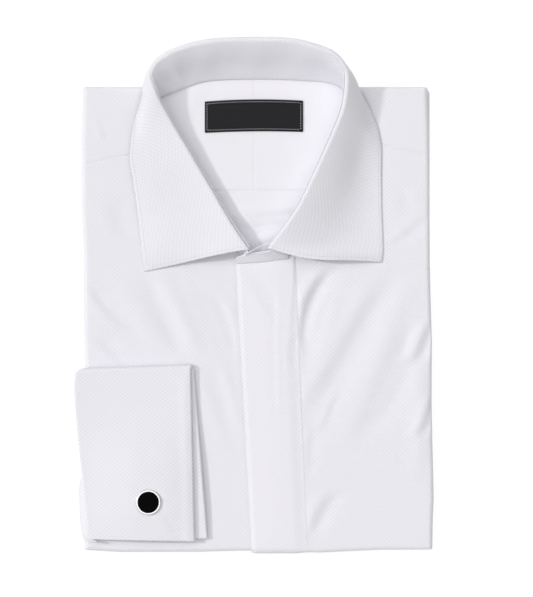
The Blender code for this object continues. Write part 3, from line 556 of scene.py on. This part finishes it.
# inside the neck: the back panel ends at its seam, and the inner yoke's halves meet at the middle
inside = dict(seamY=69.5, topY=142.6, halfWidth=65, z=10.5, backX=(-105.5, 110.5), backInset=5,
    backDrop=0.35, backGap=0.25, halfGap=0.12, sunk=0.12, highest=0.7)


def flatCloth(name, node, xPair, yPair, z, rows, step):
    # an even grid at one height, its cells about a step wide, and its folds held below what lies on it
    x, y = np.meshgrid(np.linspace(*xPair, round((xPair[1] - xPair[0]) / step) + 1),
                       np.linspace(*yPair, int((yPair[1] - yPair[0]) / step)))
    relief = np.minimum(foldRelief(x, y, rows), inside["highest"])
    points = np.stack([x, y, z - inside["sunk"] + relief], axis=-1)
    return sewn(name, node, points, points[..., :2], insideClothPaintedLighter, body["cloth"])


_, backPanel = flatCloth("backPanel", "back_panel", inside["backX"],
                         (body["hem"] + inside["backInset"], inside["seamY"] - inside["backGap"]),
                         inside["z"] - inside["backDrop"], folds["back"], 2.5)
innerY = (inside["seamY"], inside["topY"])
innerLeftPoints, innerYokeLeft = flatCloth(
    "innerYokeLeft", "yoke_inner_left", (inside["halfGap"], inside["halfWidth"]), innerY, inside["z"],
    folds["yoke"], 1.5)
innerRightPoints, innerYokeRight = flatCloth(
    "innerYokeRight", "yoke_inner_right", (-inside["halfWidth"], -inside["halfGap"]), innerY, inside["z"],
    folds["yoke"], 1.5)


# a row for each section of the collar, from the wearer's right front round the back to the left front:
# seam point, fold point, edge point, how flat the edge lies, and the leaf's bow in degrees;
# leave and arrive are tables of (share of the way along, share of the section's length)
collar = dict(rows=(
    (-7.1, 24.3, 13.2, -4, 27.9, 24, -72.2, 14.5, 13.3, 1, 12),
    (-20.5, 41.5, 12.9, -15.6, 45, 22.6, -73.9, 28.4, 14.5, 0.82, -5),
    (-37, 68.6, 12.9, -31, 71.4, 21.3, -76.5, 52.8, 16, 0.82, -9),
    (-51, 92.8, 12.9, -44.4, 94.3, 22.2, -79.5, 75.9, 17.8, 0.83, -10),
    (-64, 116.3, 12.9, -58.6, 118.6, 25.2, -81.5, 94.3, 19, 0.95, -10),
    (-64.3, 128, 12.6, -65.9, 133.8, 30, -78.6, 114.1, 18.5, 1, -8),
    (-57.4, 133, 12.2, -68.4, 145.4, 32, -74.2, 130.8, 17, 0.6, 2),
    (-53.2, 134.7, 12, -65.5, 151.3, 33.2, -72.4, 138.4, 12.6, 0.1, 8),
    (-47.5, 136.9, 11.3, -58.6, 156.8, 34.2, -66.9, 145.9, 8.8, 0, 8),
    (-36, 140.9, 11, -41.9, 163.4, 35, -49.4, 151.7, 3, 0, 8),
    (-3, 143.2, 11, -2.9, 167.1, 35, -3, 154.4, 1.5, 0, 6),
    (33.4, 142.2, 11, 36.4, 163.8, 35, 42, 151.7, 3, 0, 8),
    (47.2, 141, 11.3, 53.4, 156.3, 35, 59.8, 143.4, 9.5, 0, 8),
    (57, 137.8, 12.2, 60.3, 145.9, 34.5, 71.4, 131.2, 14.8, 0.45, 2),
    (62.6, 131.2, 12.6, 60.6, 136.1, 34, 78, 118.7, 13.8, 0.7, -4),
    (62.5, 117, 12.9, 57.7, 119.4, 33, 83.2, 98.9, 13.4, 0.75, -5),
    (57.3, 104.4, 12.9, 52.3, 106, 32.5, 83.2, 81.1, 13.3, 0.9, -4),
    (46.5, 77.8, 12.9, 40.5, 79.7, 32, 83.5, 56.1, 13.2, 0.97, -3),
    (34.5, 51.6, 12.9, 27.9, 54.3, 29.6, 84.3, 36.3, 13.2, 0.95, -4),
    (25.5, 35, 13.8, 15.8, 37.6, 26.2, 84.3, 27.2, 13.2, 0.88, 2),
    (21.5, 24.4, 15, 9.2, 28.7, 23.2, 83.6, 20.7, 13.2, 0.7, 12)),
    innerEnd=((11, 29, 15.2, 13, 35.3, 19.6), (4, 26.5, 15, 5.5, 32.8, 20.2)),
    outerEnd=((13, 23.3, 14.7, 3.6, 28.1, 21.3), (4, 22.2, 14.7, -2, 27.3, 20.3),
    (-4, 21.7, 14.7, -7.6, 26.1, 19.2), (-9, 21.4, 14.8, -11.2, 24.9, 18.6),
    (-12, 21.3, 15.2, -12.7, 22.9, 18.2)),
    sections=300, endSections=24, leafInset=2.1, rollInner=0.95, thickness=0.9, start=2, standLines=14,
    leafLines=(4, 18, 46), leastTurn=70, mostTurn=176, slant=(1.03, 0.4), slantFrom=0.2, slantOver=0.07,
    leave=((0, 0.35), (0.6, 0.35), (0.75, 0.45), (1, 0.45)),
    arrive=((0, 0.5), (0.08, 0.4), (0.34, 0.38), (0.5, 0.3), (0.68, 0.45), (0.8, 0.5), (1, 0.5)))
# the stand's second ply: front and leaves are (from, over), waves are (place along it, half width, depth)
ply = dict(thickness=0.5, gap=0.06, spread=0.15, top=(0.8, 1.3), foot=0.05, lines=16, front=(0.10, 0.14),
    leaves=(0.25, 0.6),
    waves=((0.335, 0.010, 0.7), (0.372, 0.012, 0.8), (0.43, 0.020, 0.9), (0.52, 0.018, 0.5),
    (0.60, 0.02, 0.4)))


def collarSections():
    # three curves that meet at the two front corners; the leaf keeps a little inside the middle one
    rows, ends = np.array(collar["rows"]), collar["endSections"]
    tables = (np.array([*((*row, *rows[0][6:]) for row in collar["innerEnd"]), rows[0]]), rows,
              np.array([rows[-1], *((*row, *rows[-1][6:]) for row in collar["outerEnd"])]))
    ways = [lengths(table[:, 3:6]) for table in tables]
    total, inset = ways[1][-1], collar["leafInset"]
    steps = (np.linspace(0, ways[0][-1], ends)[:-1],
             np.concatenate([[0.0], np.linspace(inset, total - inset, collar["sections"]), [total]]),
             np.linspace(0, ways[2][-1], ends)[1:])
    read = [readCurve(table, way, at) for table, way, at in zip(tables, ways, steps)]
    return np.concatenate(read), read[1][1:-1]


def rollFrame(read):  # the middle of the roll, and the ways along it, up the stand and out of the neck
    centre = read[:, 3:6] - up * (collar["rollInner"] + collar["thickness"])
    tangent = unit(np.gradient(centre, axis=0))
    rise = centre - read[:, 0:3]
    rise = unit(rise - tangent * np.sum(rise * tangent, axis=1, keepdims=True))
    return centre, tangent, rise, np.cross(rise, tangent)


def flatPattern(points, line):  # the running length of one line by that across it
    return np.stack([np.broadcast_to(lengths(line)[:, None], points.shape[:2]), lengths(points)], axis=-1)


def makeInnerPly(read):
    # the neck side of the stand: close to it at the foot and standing off along the top, more and higher
    # towards the wearer's right front; slow waves at the back corner
    centre, _, _, out = rollFrame(read)
    height = np.linalg.norm(centre - read[:, 0:3], axis=1)[:, None, None]
    share = np.linspace(0, 1, len(read))[:, None, None]
    rightFront = 1 - smoothStep((share - ply["front"][0]) / ply["front"][1])
    behind = ply["gap"] + ply["thickness"]
    foot = collar["thickness"] / 2 + behind
    top = collar["rollInner"] + collar["thickness"] + behind + ply["spread"] * rightFront
    t = np.linspace(0, 1, ply["lines"])[None, :, None]
    wave = sum(deep * np.exp(-((share - at) / wide)**2) for at, wide, deep in ply["waves"])
    wave = wave * np.sin(math.pi * t)
    away = foot + (top - foot) * smoothStep((t - ply["leaves"][0]) / ply["leaves"][1]) + wave
    level = ply["foot"] + (height - ply["foot"] + between(ply["top"], rightFront)) * t
    points = read[:, None, 0:3] + (centre - read[:, 0:3])[:, None, :] * level / height
    points = points - out[:, None, :] * away
    made = clothWall("standInnerPly", points, flatPattern(points, centre), plyClothPaintedLighter, ply["thickness"], -1)
    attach(made, "root")
    return points, made


def makeStand(read):
    # straight lines from the seam to the middle of the roll, moved out by half the cloth
    centre = rollFrame(read)[0]
    shares = np.linspace(0, 1, collar["standLines"])[None, :, None]
    points = read[:, None, 0:3] + (centre - read[:, 0:3])[:, None, :] * shares
    points = points + gridNormals(points, 1) * (collar["thickness"] / 2)
    flat = flatPattern(points, centre)
    return sewn("collarStand", "collar_stand", points, flat, collarCloth, collar["thickness"])


def leafGrid(read):
    # down inside the stand, round its top in an arc, and on in a cubic curve to the edge;
    # every section is turned along the fold so that from above it runs straight to its edge point;
    # the cubic curve has its two inner points on the ways it leaves the arc and arrives at the edge
    radius = collar["rollInner"] + collar["thickness"]
    centre, tangent, rise, out = rollFrame(read)
    edge, flat, bow = read[:, 6:9], read[:, 9:10], np.radians(read[:, 10:11])
    reach = edge - centre
    away = [np.sum(reach * way, axis=1, keepdims=True) for way in (out, rise, tangent)]
    turn = np.clip(np.arctan2(away[0], away[1]) - bow, *np.radians((collar["leastTurn"], collar["mostTurn"])))
    share = np.linspace(0, 1, len(read))[:, None]
    sideways = smoothStep((np.abs(share - 0.5) - collar["slantFrom"]) / collar["slantOver"])
    out = out + tangent * between(collar["slant"], share) * sideways * away[2] / away[0]
    inner, onArc, outer = collar["leafLines"]
    lines = [centre - out * radius - rise * step for step in np.linspace(collar["start"], 0.0, inner)[:-1]]
    lines += [centre + radius * (rise * np.sin(turn * k) - out * np.cos(turn * k))
              for k in np.linspace(0, 1, onArc)]
    start = lines[-1]
    leaving = unit(rise * np.cos(turn) + out * np.sin(turn))
    length = np.linalg.norm(edge - start, axis=1, keepdims=True)
    arriving = unit(unit(reach * (1 - up)) * flat - up * (1 - flat))
    first = start + leaving * length * edgeAt(collar["leave"], share)
    second = edge - arriving * length * edgeAt(collar["arrive"], share)
    lines += [(1 - t)**3 * start + 3 * (1 - t)**2 * t * first + 3 * (1 - t) * t * t * second + t**3 * edge
              for t in np.linspace(0, 1, outer)[1:]]
    return np.stack(lines, axis=1)


def makeLeaf(read):  # a cloth wall on the leaf's grid, whose pattern runs along its long edge
    points = leafGrid(read)
    flat = flatPattern(points, points[:, -1])
    return sewn("collarLeaf", "collar_leaf", points, flat, collarCloth,
                collar["thickness"], -1)


standRead, leafRead = collarSections()
_, collarStand = makeStand(standRead)
leafPoints, collarLeaf = makeLeaf(leafRead)
plyPoints, standInnerPly = makeInnerPly(leafRead)
print("collar made")


# label: bowLean is how far the middle bows up along its centre line, and how much more along its top edge
label = dict(centre=(-0.4, 117.7), size=(64.3, 20.1), z=10.8, thickness=0.6, lift=0.35, bow=3.8,
    bowLean=(0.95, 0.35), tilt=0.6, cells=(60, 22))


def makeLabel():  # a rectangle bowed upwards and a little turned, whose top edge stands off in the middle
    across, rise = np.meshgrid(*[np.linspace(-0.5, 0.5, count) for count in label["cells"]])
    bow = label["bow"] * (0.25 - across**2) * (label["bowLean"][0] + label["bowLean"][1] * rise)
    x = label["centre"][0] + across * label["size"][0]
    y = label["centre"][1] + rise * label["size"][1] + bow + label["tilt"] * across
    z = label["z"] + label["thickness"] + label["lift"] * np.cos(math.pi * across)**2 * (0.5 + rise)
    points = np.stack([x, y, z], axis=-1)
    return sewn("neckLabel", "label", points, points[..., :2], labelSatin, label["thickness"])


labelPoints, neckLabel = makeLabel()


# cuff: ramp and the near ones are (from, over, share taken off), rib and groove are (height, distance in from
# the hand edge, half width), lip is (drop, width), and the slants are (steepness, from, over)
cuff = dict(top=-47, lower=-160, upper=-160.9, handUpper=(-42, -39.3), handLower=(-40, -30.9),
    freeUpper=((-162, -108.6), (-122, -112.8), (-109, -114.3), (-89, -116.2), (-72, -117.6),
    (-58, -118.2), (-50, -117.4), (-47, -116.4)),
    freeLower=-107, seam=-104, ply=1.2, gap=0.3, rest=12.3, space=0.6, lift=4.3, linkAt=(-69.8, -136.3),
    folds=(((-64.5, -139.5), (-58, -149), (-51, -159.5), 0.16, 3.4), ((-96, -100), (-80, -112),
    (-62, -122), 0.05, 9)),
    ramp=(-114, 36), nearHand=(-63, 30, 0.6), nearLower=(-138, 24, 0.45), nearFold=(-66, 56),
    dent=(0.5, 95), lines=64, bend=14, columns=44, crowding=1.8, toFree=9, rib=(0.4, 4.4, 3),
    lip=(0.12, 3.5), groove=(1, 2.5, 0.6), upperFrom=2, upperOver=10, slantUpper=(0.036, -100, 50),
    slantLower=(0.018, -120, 40), middle=-79)
sleeve = dict(thickness=3, tuck=-98, ends=(-161.6, -51.4), lines=90, flat=6, turn=40, under=8, rim=7,
    outer=((-161.6, -112.4), (-158, -114), (-150, -115.2), (-130, -116.2), (-124, -115.6), (-118, -113.8),
    (-51, -113.6)))


def cuffLift(x, y):
    # flat at the fold, raised over the toggle, sinking again to the hand edge, and pressed in round the link
    begin, over = cuff["ramp"]
    hand, handOver, handShare = cuff["nearHand"]
    low, lowOver, lowShare = cuff["nearLower"]
    ramp = np.clip((x - begin) / over, 0.0, 1.0)
    ramp = (0.5 * ramp + 0.5 * smoothStep(ramp)) * (1 - handShare * smoothStep((x - hand) / handOver))
    ramp = ramp * (1 - lowShare * smoothStep((low - y) / lowOver))
    deep, spread = cuff["dent"]
    dent = deep * np.exp(-((x - cuff["linkAt"][0])**2 + (y - cuff["linkAt"][1])**2) / spread)
    return cuff["lift"] * ramp * smoothStep((cuff["nearFold"][0] - y) / cuff["nearFold"][1]) - dent


def cuffGrid():
    # a U of two plies (inner, half circle, outer) carried along the tube: lower half, bend, upper half
    stack = 2 * cuff["ply"] + cuff["gap"]
    low, high, radius = cuff["rest"] + stack, cuff["rest"] + stack + cuff["space"], cuff["space"] / 2
    bendY = cuff["top"] - stack - radius
    angle = np.linspace(-math.pi / 2, math.pi / 2, cuff["bend"])[1:-1]
    one, none = np.ones(cuff["lines"]), np.zeros(cuff["lines"])
    y = np.concatenate([np.linspace(cuff["lower"], bendY, cuff["lines"]), bendY + radius * np.cos(angle),
                        np.linspace(bendY, cuff["upper"], cuff["lines"])])
    z = np.concatenate([one * low, (low + high) / 2 + radius * np.sin(angle), one * high])[:, None]
    outY, outZ = [np.concatenate([begin, way, end])[:, None]
                  for begin, way, end in ((none, np.cos(angle), none), (-one, np.sin(angle), one))]
    half = np.concatenate([none, (angle + math.pi / 2) / math.pi, one])
    down = (cuff["top"] - y) / (cuff["top"] - cuff["lower"])
    hand = between((between(cuff["handLower"], down), between(cuff["handUpper"], down)), half)[:, None]
    free = between((cuff["freeLower"], edgeAt(cuff["freeUpper"], y)), half)[:, None]
    y, half = y[:, None], half[:, None]
    # columns: the inner ply from seam to hand edge, round it, the outer ply back, and on to the free edge
    centre = hand - stack / 2
    shares = np.linspace(0, 1, cuff["columns"])[None, :]**cuff["crowding"]
    turn = np.linspace(0, math.pi, cuff["bend"])[None, 1:-1]
    last = np.linspace(0, 1, cuff["toFree"])[None, 1:]
    seam = cuff["seam"]
    x = np.concatenate([centre + (seam - centre) * shares[:, ::-1], centre + stack / 2 * np.sin(turn),
                        centre + (seam - centre) * shares, seam + (free - seam) * last], axis=1)
    out = np.concatenate([np.zeros(cuff["columns"]), stack / 2 * (1 - np.cos(turn[0])),
                          np.full(cuff["columns"] + cuff["toFree"] - 1, stack)])[None, :]
    pointY = y + outY * out
    # a soft rib along the hand edge of the upper half, folds from the link, and slightly slanted ends
    high, inFromHand, wide = cuff["rib"]
    rib = high * np.exp(-((hand - inFromHand - x) / wide)**2)
    rib = rib - cuff["lip"][0] * smoothStep((x - hand + cuff["lip"][1]) / cuff["lip"][1])
    deep, inFromHand, wide = cuff["groove"]
    groove = deep * np.exp(-((hand - inFromHand - x) / wide)**2) * (1 - half) * (out > stack / 2)
    upper = half * smoothStep((cuff["top"] - cuff["upperFrom"] - pointY) / cuff["upperOver"])
    pointZ = z + outZ * out + cuffLift(x, pointY) - groove
    pointZ = pointZ + upper * (rib + foldRelief(x, pointY, cuff["folds"]))
    steep, begin, over = cuff["slantUpper"]
    slant = steep * smoothStep((pointY - begin) / over)
    steep, begin, over = cuff["slantLower"]
    slant = slant - steep * half * smoothStep((begin - pointY) / over)
    return np.stack([x, pointY + slant * (x - cuff["middle"]), pointZ], axis=-1)


def makeCuff():  # a cloth wall on the cuff's grid; its pattern is the length round by that down its outer ply
    points = cuffGrid()
    along = lengths(points[:, cuff["columns"] + cuff["bend"] + 2])
    flat = np.stack([lengths(points), np.broadcast_to(along[:, None], points.shape[:2])], axis=-1)
    return sewn("frenchCuff", "french_cuff", points, flat, collarCloth, cuff["ply"])


def makeSleeve():
    # top, half circle round the side, and a short tuck under
    top = cuff["rest"] + cuff["ply"] + cuff["gap"] + sleeve["thickness"]
    radius = top / 2
    begin = cuff["seam"] - cuff["gap"]
    y = np.linspace(*sleeve["ends"], sleeve["lines"])[:, None]
    centre = edgeAt(sleeve["outer"], y) + radius
    angle = np.linspace(math.pi / 2, math.pi * 3 / 2, sleeve["turn"])
    x = np.concatenate([begin + (centre - begin) * np.linspace(0, 1, sleeve["flat"])[:-1],
                        centre + radius * np.cos(angle),
                        centre + (sleeve["tuck"] - centre) * np.linspace(0, 1, sleeve["under"])[1:]], axis=1)
    z = np.concatenate([np.full(sleeve["flat"] - 1, top), radius + radius * np.sin(angle),
                        np.zeros(sleeve["under"] - 1)])
    points = np.stack(np.broadcast_arrays(x, y, z), axis=-1)
    flat = np.stack([lengths(points), points[..., 1]], axis=-1)
    return sewn("sleeveRight", "sleeve_right", points, flat, shirtCloth,
                sleeve["thickness"], -1, sleeve["rim"])


cuffPoints, frenchCuff = makeCuff()
_, sleeveRight = makeSleeve()
print("cuff and sleeve made")


# folded layers below: each is (inset, bottom, top, whether it is notched for the sleeve)
layers = dict(each=((0.6, 0, 1.95, True), (0.9, 2.05, 3.75, True), (2.4, 3.85, 8.9, False)),
    left=116.6, right=-112.6, corner=4, arc=8, side=60, edge=1, edgeLines=6, notch=-97, notchPast=2.5)


def slabOutline(inset, notched):
    # a rectangle with rounded corners and straight sides, cut back where the sleeve tucks in;
    # from the wearer's left top corner it runs counterclockwise
    left, right, c = layers["left"], layers["right"], layers["corner"]
    corners = np.array([(left, body["top"]), (right, body["top"]), (right, body["hem"]), (left, body["hem"])])
    centres = corners - np.copysign(inset + c, corners)
    turns = math.pi / 2 * (np.arange(4)[:, None] + np.linspace(0, 1, layers["arc"]))
    arcs = centres[:, None] + c * np.stack([np.cos(turns), np.sin(turns)], axis=-1)
    shares = np.linspace(0, 1, layers["side"], endpoint=False)[1:, None]
    sides = arcs[:, -1:] + (np.roll(arcs, -1, axis=0)[:, :1] - arcs[:, -1:]) * shares
    ring = np.concatenate([arcs, sides], axis=1).reshape(-1, 2)
    if notched:
        inNotch = (ring[:, 0] < layers["notch"]) & (ring[:, 1] < sleeve["ends"][1] + layers["notchPast"])
        ring[inNotch, 0] = layers["notch"]
    return ring


def makeLayers():
    # each layer's edge is rounded at its bottom and top: height r(1 - cos a), inset r(1 - sin a)
    vertices, faces, start = [], [], 0
    turns = np.linspace(0, math.pi / 2, layers["edgeLines"])
    for inset, low, high, notched in layers["each"]:
        bend = min((high - low) / 2, layers["edge"])
        steps = [(bend * (1 - math.cos(a)), bend * (1 - math.sin(a))) for a in turns]
        levels = [(low + rise, back) for rise, back in steps]
        levels += [(high - rise, back) for rise, back in steps[::-1]]
        rings = [np.insert(slabOutline(inset + back, notched), 2, z, axis=1) for z, back in levels]
        vertices += rings
        faces += tubeFaces(len(rings), len(rings[0]), start)
        start += len(rings) * len(rings[0])
    points = np.concatenate(vertices)
    made = addMesh("foldedLayers", points, faces, insideClothPaintedLighter, points[:, :2])
    return seat(made, "folded_core")


makeLayers()
print("folded layers made")


# cuff link: the toggle's ends are (share of its length, share of its radius)
link = dict(at=cuff["linkAt"], radius=8.25, face=7, height=1.7, post=1.4, sides=96, toggleRadius=1.8,
    toggleLength=17, toggleTurn=math.radians(35), toggleSides=32, sunk=0.15, rim=0.12, clear=0.3,
    sharp=35,
    toggleEnds=((-0.5, 0.3), (-0.495, 0.6), (-0.48, 0.82), (-0.455, 0.95), (-0.42, 1), (0.42, 1),
    (0.455, 0.95), (0.48, 0.82), (0.495, 0.6), (0.5, 0.3)))


def latheMesh(name, profile, finish):  # (radius, height) turned round the link's upright line
    turns = np.linspace(0, 2 * math.pi, link["sides"], endpoint=False)
    ring = np.stack([np.cos(turns), np.sin(turns), np.ones(len(turns))], axis=-1)
    points = np.array(profile)[:, None, [0, 0, 1]] * ring + np.array([*link["at"], 0.0])
    faces = tubeFaces(len(profile), link["sides"])
    return addMesh(name, points.reshape(-1, 3), faces, finish, angle=link["sharp"])


def toggleMesh(height):  # a level round bar through the post's line, with rounded ends
    angles = np.linspace(0, 2 * math.pi, link["toggleSides"], endpoint=False)
    ends = np.array(link["toggleEnds"])
    way, size = ends[:, :1] * link["toggleLength"], ends[:, 1:] * link["toggleRadius"]
    side, cos, sin = size * np.cos(angles), math.cos(link["toggleTurn"]), math.sin(link["toggleTurn"])
    points = np.stack([link["at"][0] + way * cos - side * sin, link["at"][1] + way * sin + side * cos,
                       height + size * np.sin(angles)], axis=-1)
    faces = tubeFaces(len(ends), link["toggleSides"])
    return addMesh("linkToggle", points.reshape(-1, 3), faces, linkMetal, angle=link["sharp"])


def makeLink():
    # bezel: post, underside, rounded rim, and down inside the rim; face: side, small round and a low dome
    low = cuff["rest"] + 2 * (2 * cuff["ply"] + cuff["gap"]) + cuff["space"] + cuff["lift"] - link["sunk"]
    high = low + link["height"]
    toggleZ = body["z"] + link["clear"] + link["toggleRadius"]
    post, radius, face, inner = link["post"], link["radius"], link["face"], link["face"] + link["rim"]
    linkBezel = latheMesh("linkBezel", (
        (post, toggleZ + link["toggleRadius"] + link["clear"]), (post, low - 0.5), (post + 0.5, low),
        (radius - 1.1, low), (radius - 0.5, low + 0.1), (radius - 0.12, low + 0.35), (radius, low + 0.7),
        (radius, high - 0.5), (radius - 0.05, high - 0.28), (radius - 0.2, high - 0.1),
        (radius - 0.45, high - 0.01), (radius - 0.7, high), (inner + 0.1, high - 0.08),
        (inner, high - 0.2), (inner, low + 0.6)), linkMetal)
    linkPlate = latheMesh("linkFace", (
        (face, low + 0.8), (face, high - 0.3), (face - 0.12, high - 0.12), (face - 0.5, high),
        (face * 0.7, high + 0.08), (face * 0.35, high + 0.13), (0.4, high + 0.15)), linkFace)
    seat(linkBezel, "cufflink_body")
    seat(linkPlate, "cufflink_face")
    seat(toggleMesh(toggleZ), "cufflink_toggle")


makeLink()
print("cuff link made")


# stitches: distances in from the edges, and the grid lines at which rows begin or stop; labelStitch is
# (long, wide, high), and clear keeps the leaf's front rows off the row along its long edge
sewing = dict(pitch=1.8, edgeIn=1.9, seamIn=1.2, cuffIn=1.8, flyIn=0.5, labelIn=1.2, labelPitch=1.65,
    labelStitch=(0.6, 0.5, 0.2), leafFrom=13, cuffRows=82, cuffColumns=68, flyFrom=14, yokeTo=36, clear=0.5,
    onCollarCloth=("leafStitches", "standStitches", "cuffStitches"))


def alongRows(points, inset, far=False, first=0, last=None):  # a line in from a long edge
    return np.arange(float(len(points)))[first:last], inFrom(points, inset, far)[first:last]


def alongEnd(points, inset, far=False, first=0, last=None):  # the same beside the first or the last row
    j, i = alongRows(points.swapaxes(0, 1), inset, far, first, last)
    return i, j


def leafStitches():
    # down one front edge, round the long edge and up the other front edge
    rows = []
    i, j = alongRows(leafPoints, sewing["edgeIn"], True)
    starts = [alongEnd(leafPoints, sewing["edgeIn"], far, sewing["leafFrom"]) for far in (False, True)]
    inner = (i > starts[0][0][-1]) & (i < starts[1][0][-1])
    rows.append(stitchRow(leafPoints, -1, i[inner], j[inner], sewing["pitch"]))
    for (endI, endJ), stop in zip(starts, (j[3], j[-4])):
        kept = endJ < stop - sewing["clear"]
        rows.append(stitchRow(leafPoints, -1, endI[kept], endJ[kept], sewing["pitch"]))
    return rows


def labelStitches():  # along all four edges
    rows = [along(labelPoints, sewing["labelIn"], far, 1, -1) for along in (alongRows, alongEnd)
            for far in (False, True)]
    return [stitchRow(labelPoints, 1, i, j, sewing["labelPitch"]) for i, j in rows]


def makeStitches():
    # one mesh of stitches for each sewn piece, at the pitch of the shirt or of the label
    pitch, seam, cuffIn = sewing["pitch"], sewing["seamIn"], sewing["cuffIn"]
    cuffRows = (alongRows(cuffPoints, cuffIn, True, sewing["cuffRows"], -2),
                alongEnd(cuffPoints, cuffIn, True, sewing["cuffColumns"], -2))
    flyRow = alongRows(flyPoints, sewing["flyIn"], True, sewing["flyFrom"])
    made = {
        "leafStitches": leafStitches(),
        "standStitches": [stitchRow(plyPoints, -1, *alongRows(plyPoints, seam, False, 2, -2), pitch)],
        "cuffStitches": [stitchRow(cuffPoints, 1, *row, pitch) for row in cuffRows],
        "flyStitches": [stitchRow(flyPoints, 1, *flyRow, pitch)],
        "yokeStitches": [stitchRow(points, turn, *alongEnd(points, seam, False, 0, sewing["yokeTo"]), pitch)
                         for points, turn in ((yokeLeftPoints, 1), (yokeRightPoints, -1))],
        "insideStitches": [stitchRow(points, 1, *alongEnd(points, seam, False, 1, -1), pitch)
                           for points in (innerLeftPoints, innerRightPoints)]}
    pieces = {name: addStitches(name, rows, seamThread if name == "leafStitches" else paleThread)
              for name, rows in made.items()}
    pieces["labelStitches"] = addStitches("labelStitches", labelStitches(), labelThread,
                                          *sewing["labelStitch"])
    for name, piece in pieces.items():
        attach(piece, "root")
    return pieces


stitches = makeStitches()
print("stitches made")


# studio: a lamp is (name, strength, spread in degrees, where its light comes from)
studio = dict(scale=0.66, focus=(7.92, -2.31, 12), distance=2600, rows=597, sensor=36, clip=(0.1, 20),
    sky=0.36,
    lamps=(("keyLight", 1.12, 6, (-0.72, 0.16, 0.67)),
    ("softLight", 1.37, 75, (-0.17, 0.10, 0.98))),
    floorGlow=0.92, floorSize=3000, floorZ=-0.05)


def makeStudio():
    # a glowing white floor, an even sky, two sun lamps, and a far camera whose view is rows times scale high
    scene = bpy.context.scene
    floorMaterial = newMaterial("paleFloor", {
        "Base Color": (0.1, 0.1, 0.1, 1.0), "Roughness": 0.9,
        "Emission Color": (1.0, 1.0, 1.0, 1.0), "Emission Strength": studio["floorGlow"]})[0]
    size, low = studio["floorSize"], studio["floorZ"]
    corners = [(-size, -size, low), (size, -size, low), (size, size, low), (-size, size, low)]
    floor = addMesh("paleFloor", corners, [(0, 1, 2, 3)], floorMaterial)
    world = bpy.data.worlds.new("softStudio")
    world.use_nodes = True
    background = world.node_tree.nodes["Background"].inputs
    background["Color"].default_value = (1.0, 1.0, 1.0, 1.0)
    background["Strength"].default_value = studio["sky"]
    scene.world = world
    for name, energy, spread, comesFrom in studio["lamps"]:
        lamp = bpy.data.lights.new(name, "SUN")
        lamp.energy, lamp.angle = energy, math.radians(spread)
        lampObject = bpy.data.objects.new(name, lamp)
        lampObject.rotation_mode = "QUATERNION"
        lampObject.rotation_quaternion = Vector(comesFrom).to_track_quat("Z", "Y")
        scene.collection.objects.link(lampObject)
    camera = bpy.data.cameras.new("camera")
    camera.sensor_width = studio["sensor"]
    camera.lens = studio["sensor"] * studio["distance"] / (studio["rows"] * studio["scale"])
    camera.clip_start, camera.clip_end = studio["clip"]
    cameraObject = bpy.data.objects.new("camera", camera)
    x, y, z = studio["focus"]
    cameraObject.location = (x * mm, y * mm, (z + studio["distance"]) * mm)
    scene.collection.objects.link(cameraObject)
    scene.camera = cameraObject
    scene.view_settings.view_transform = "Standard"
    scene.view_settings.look = "None"


makeStudio()
print("studio ready")
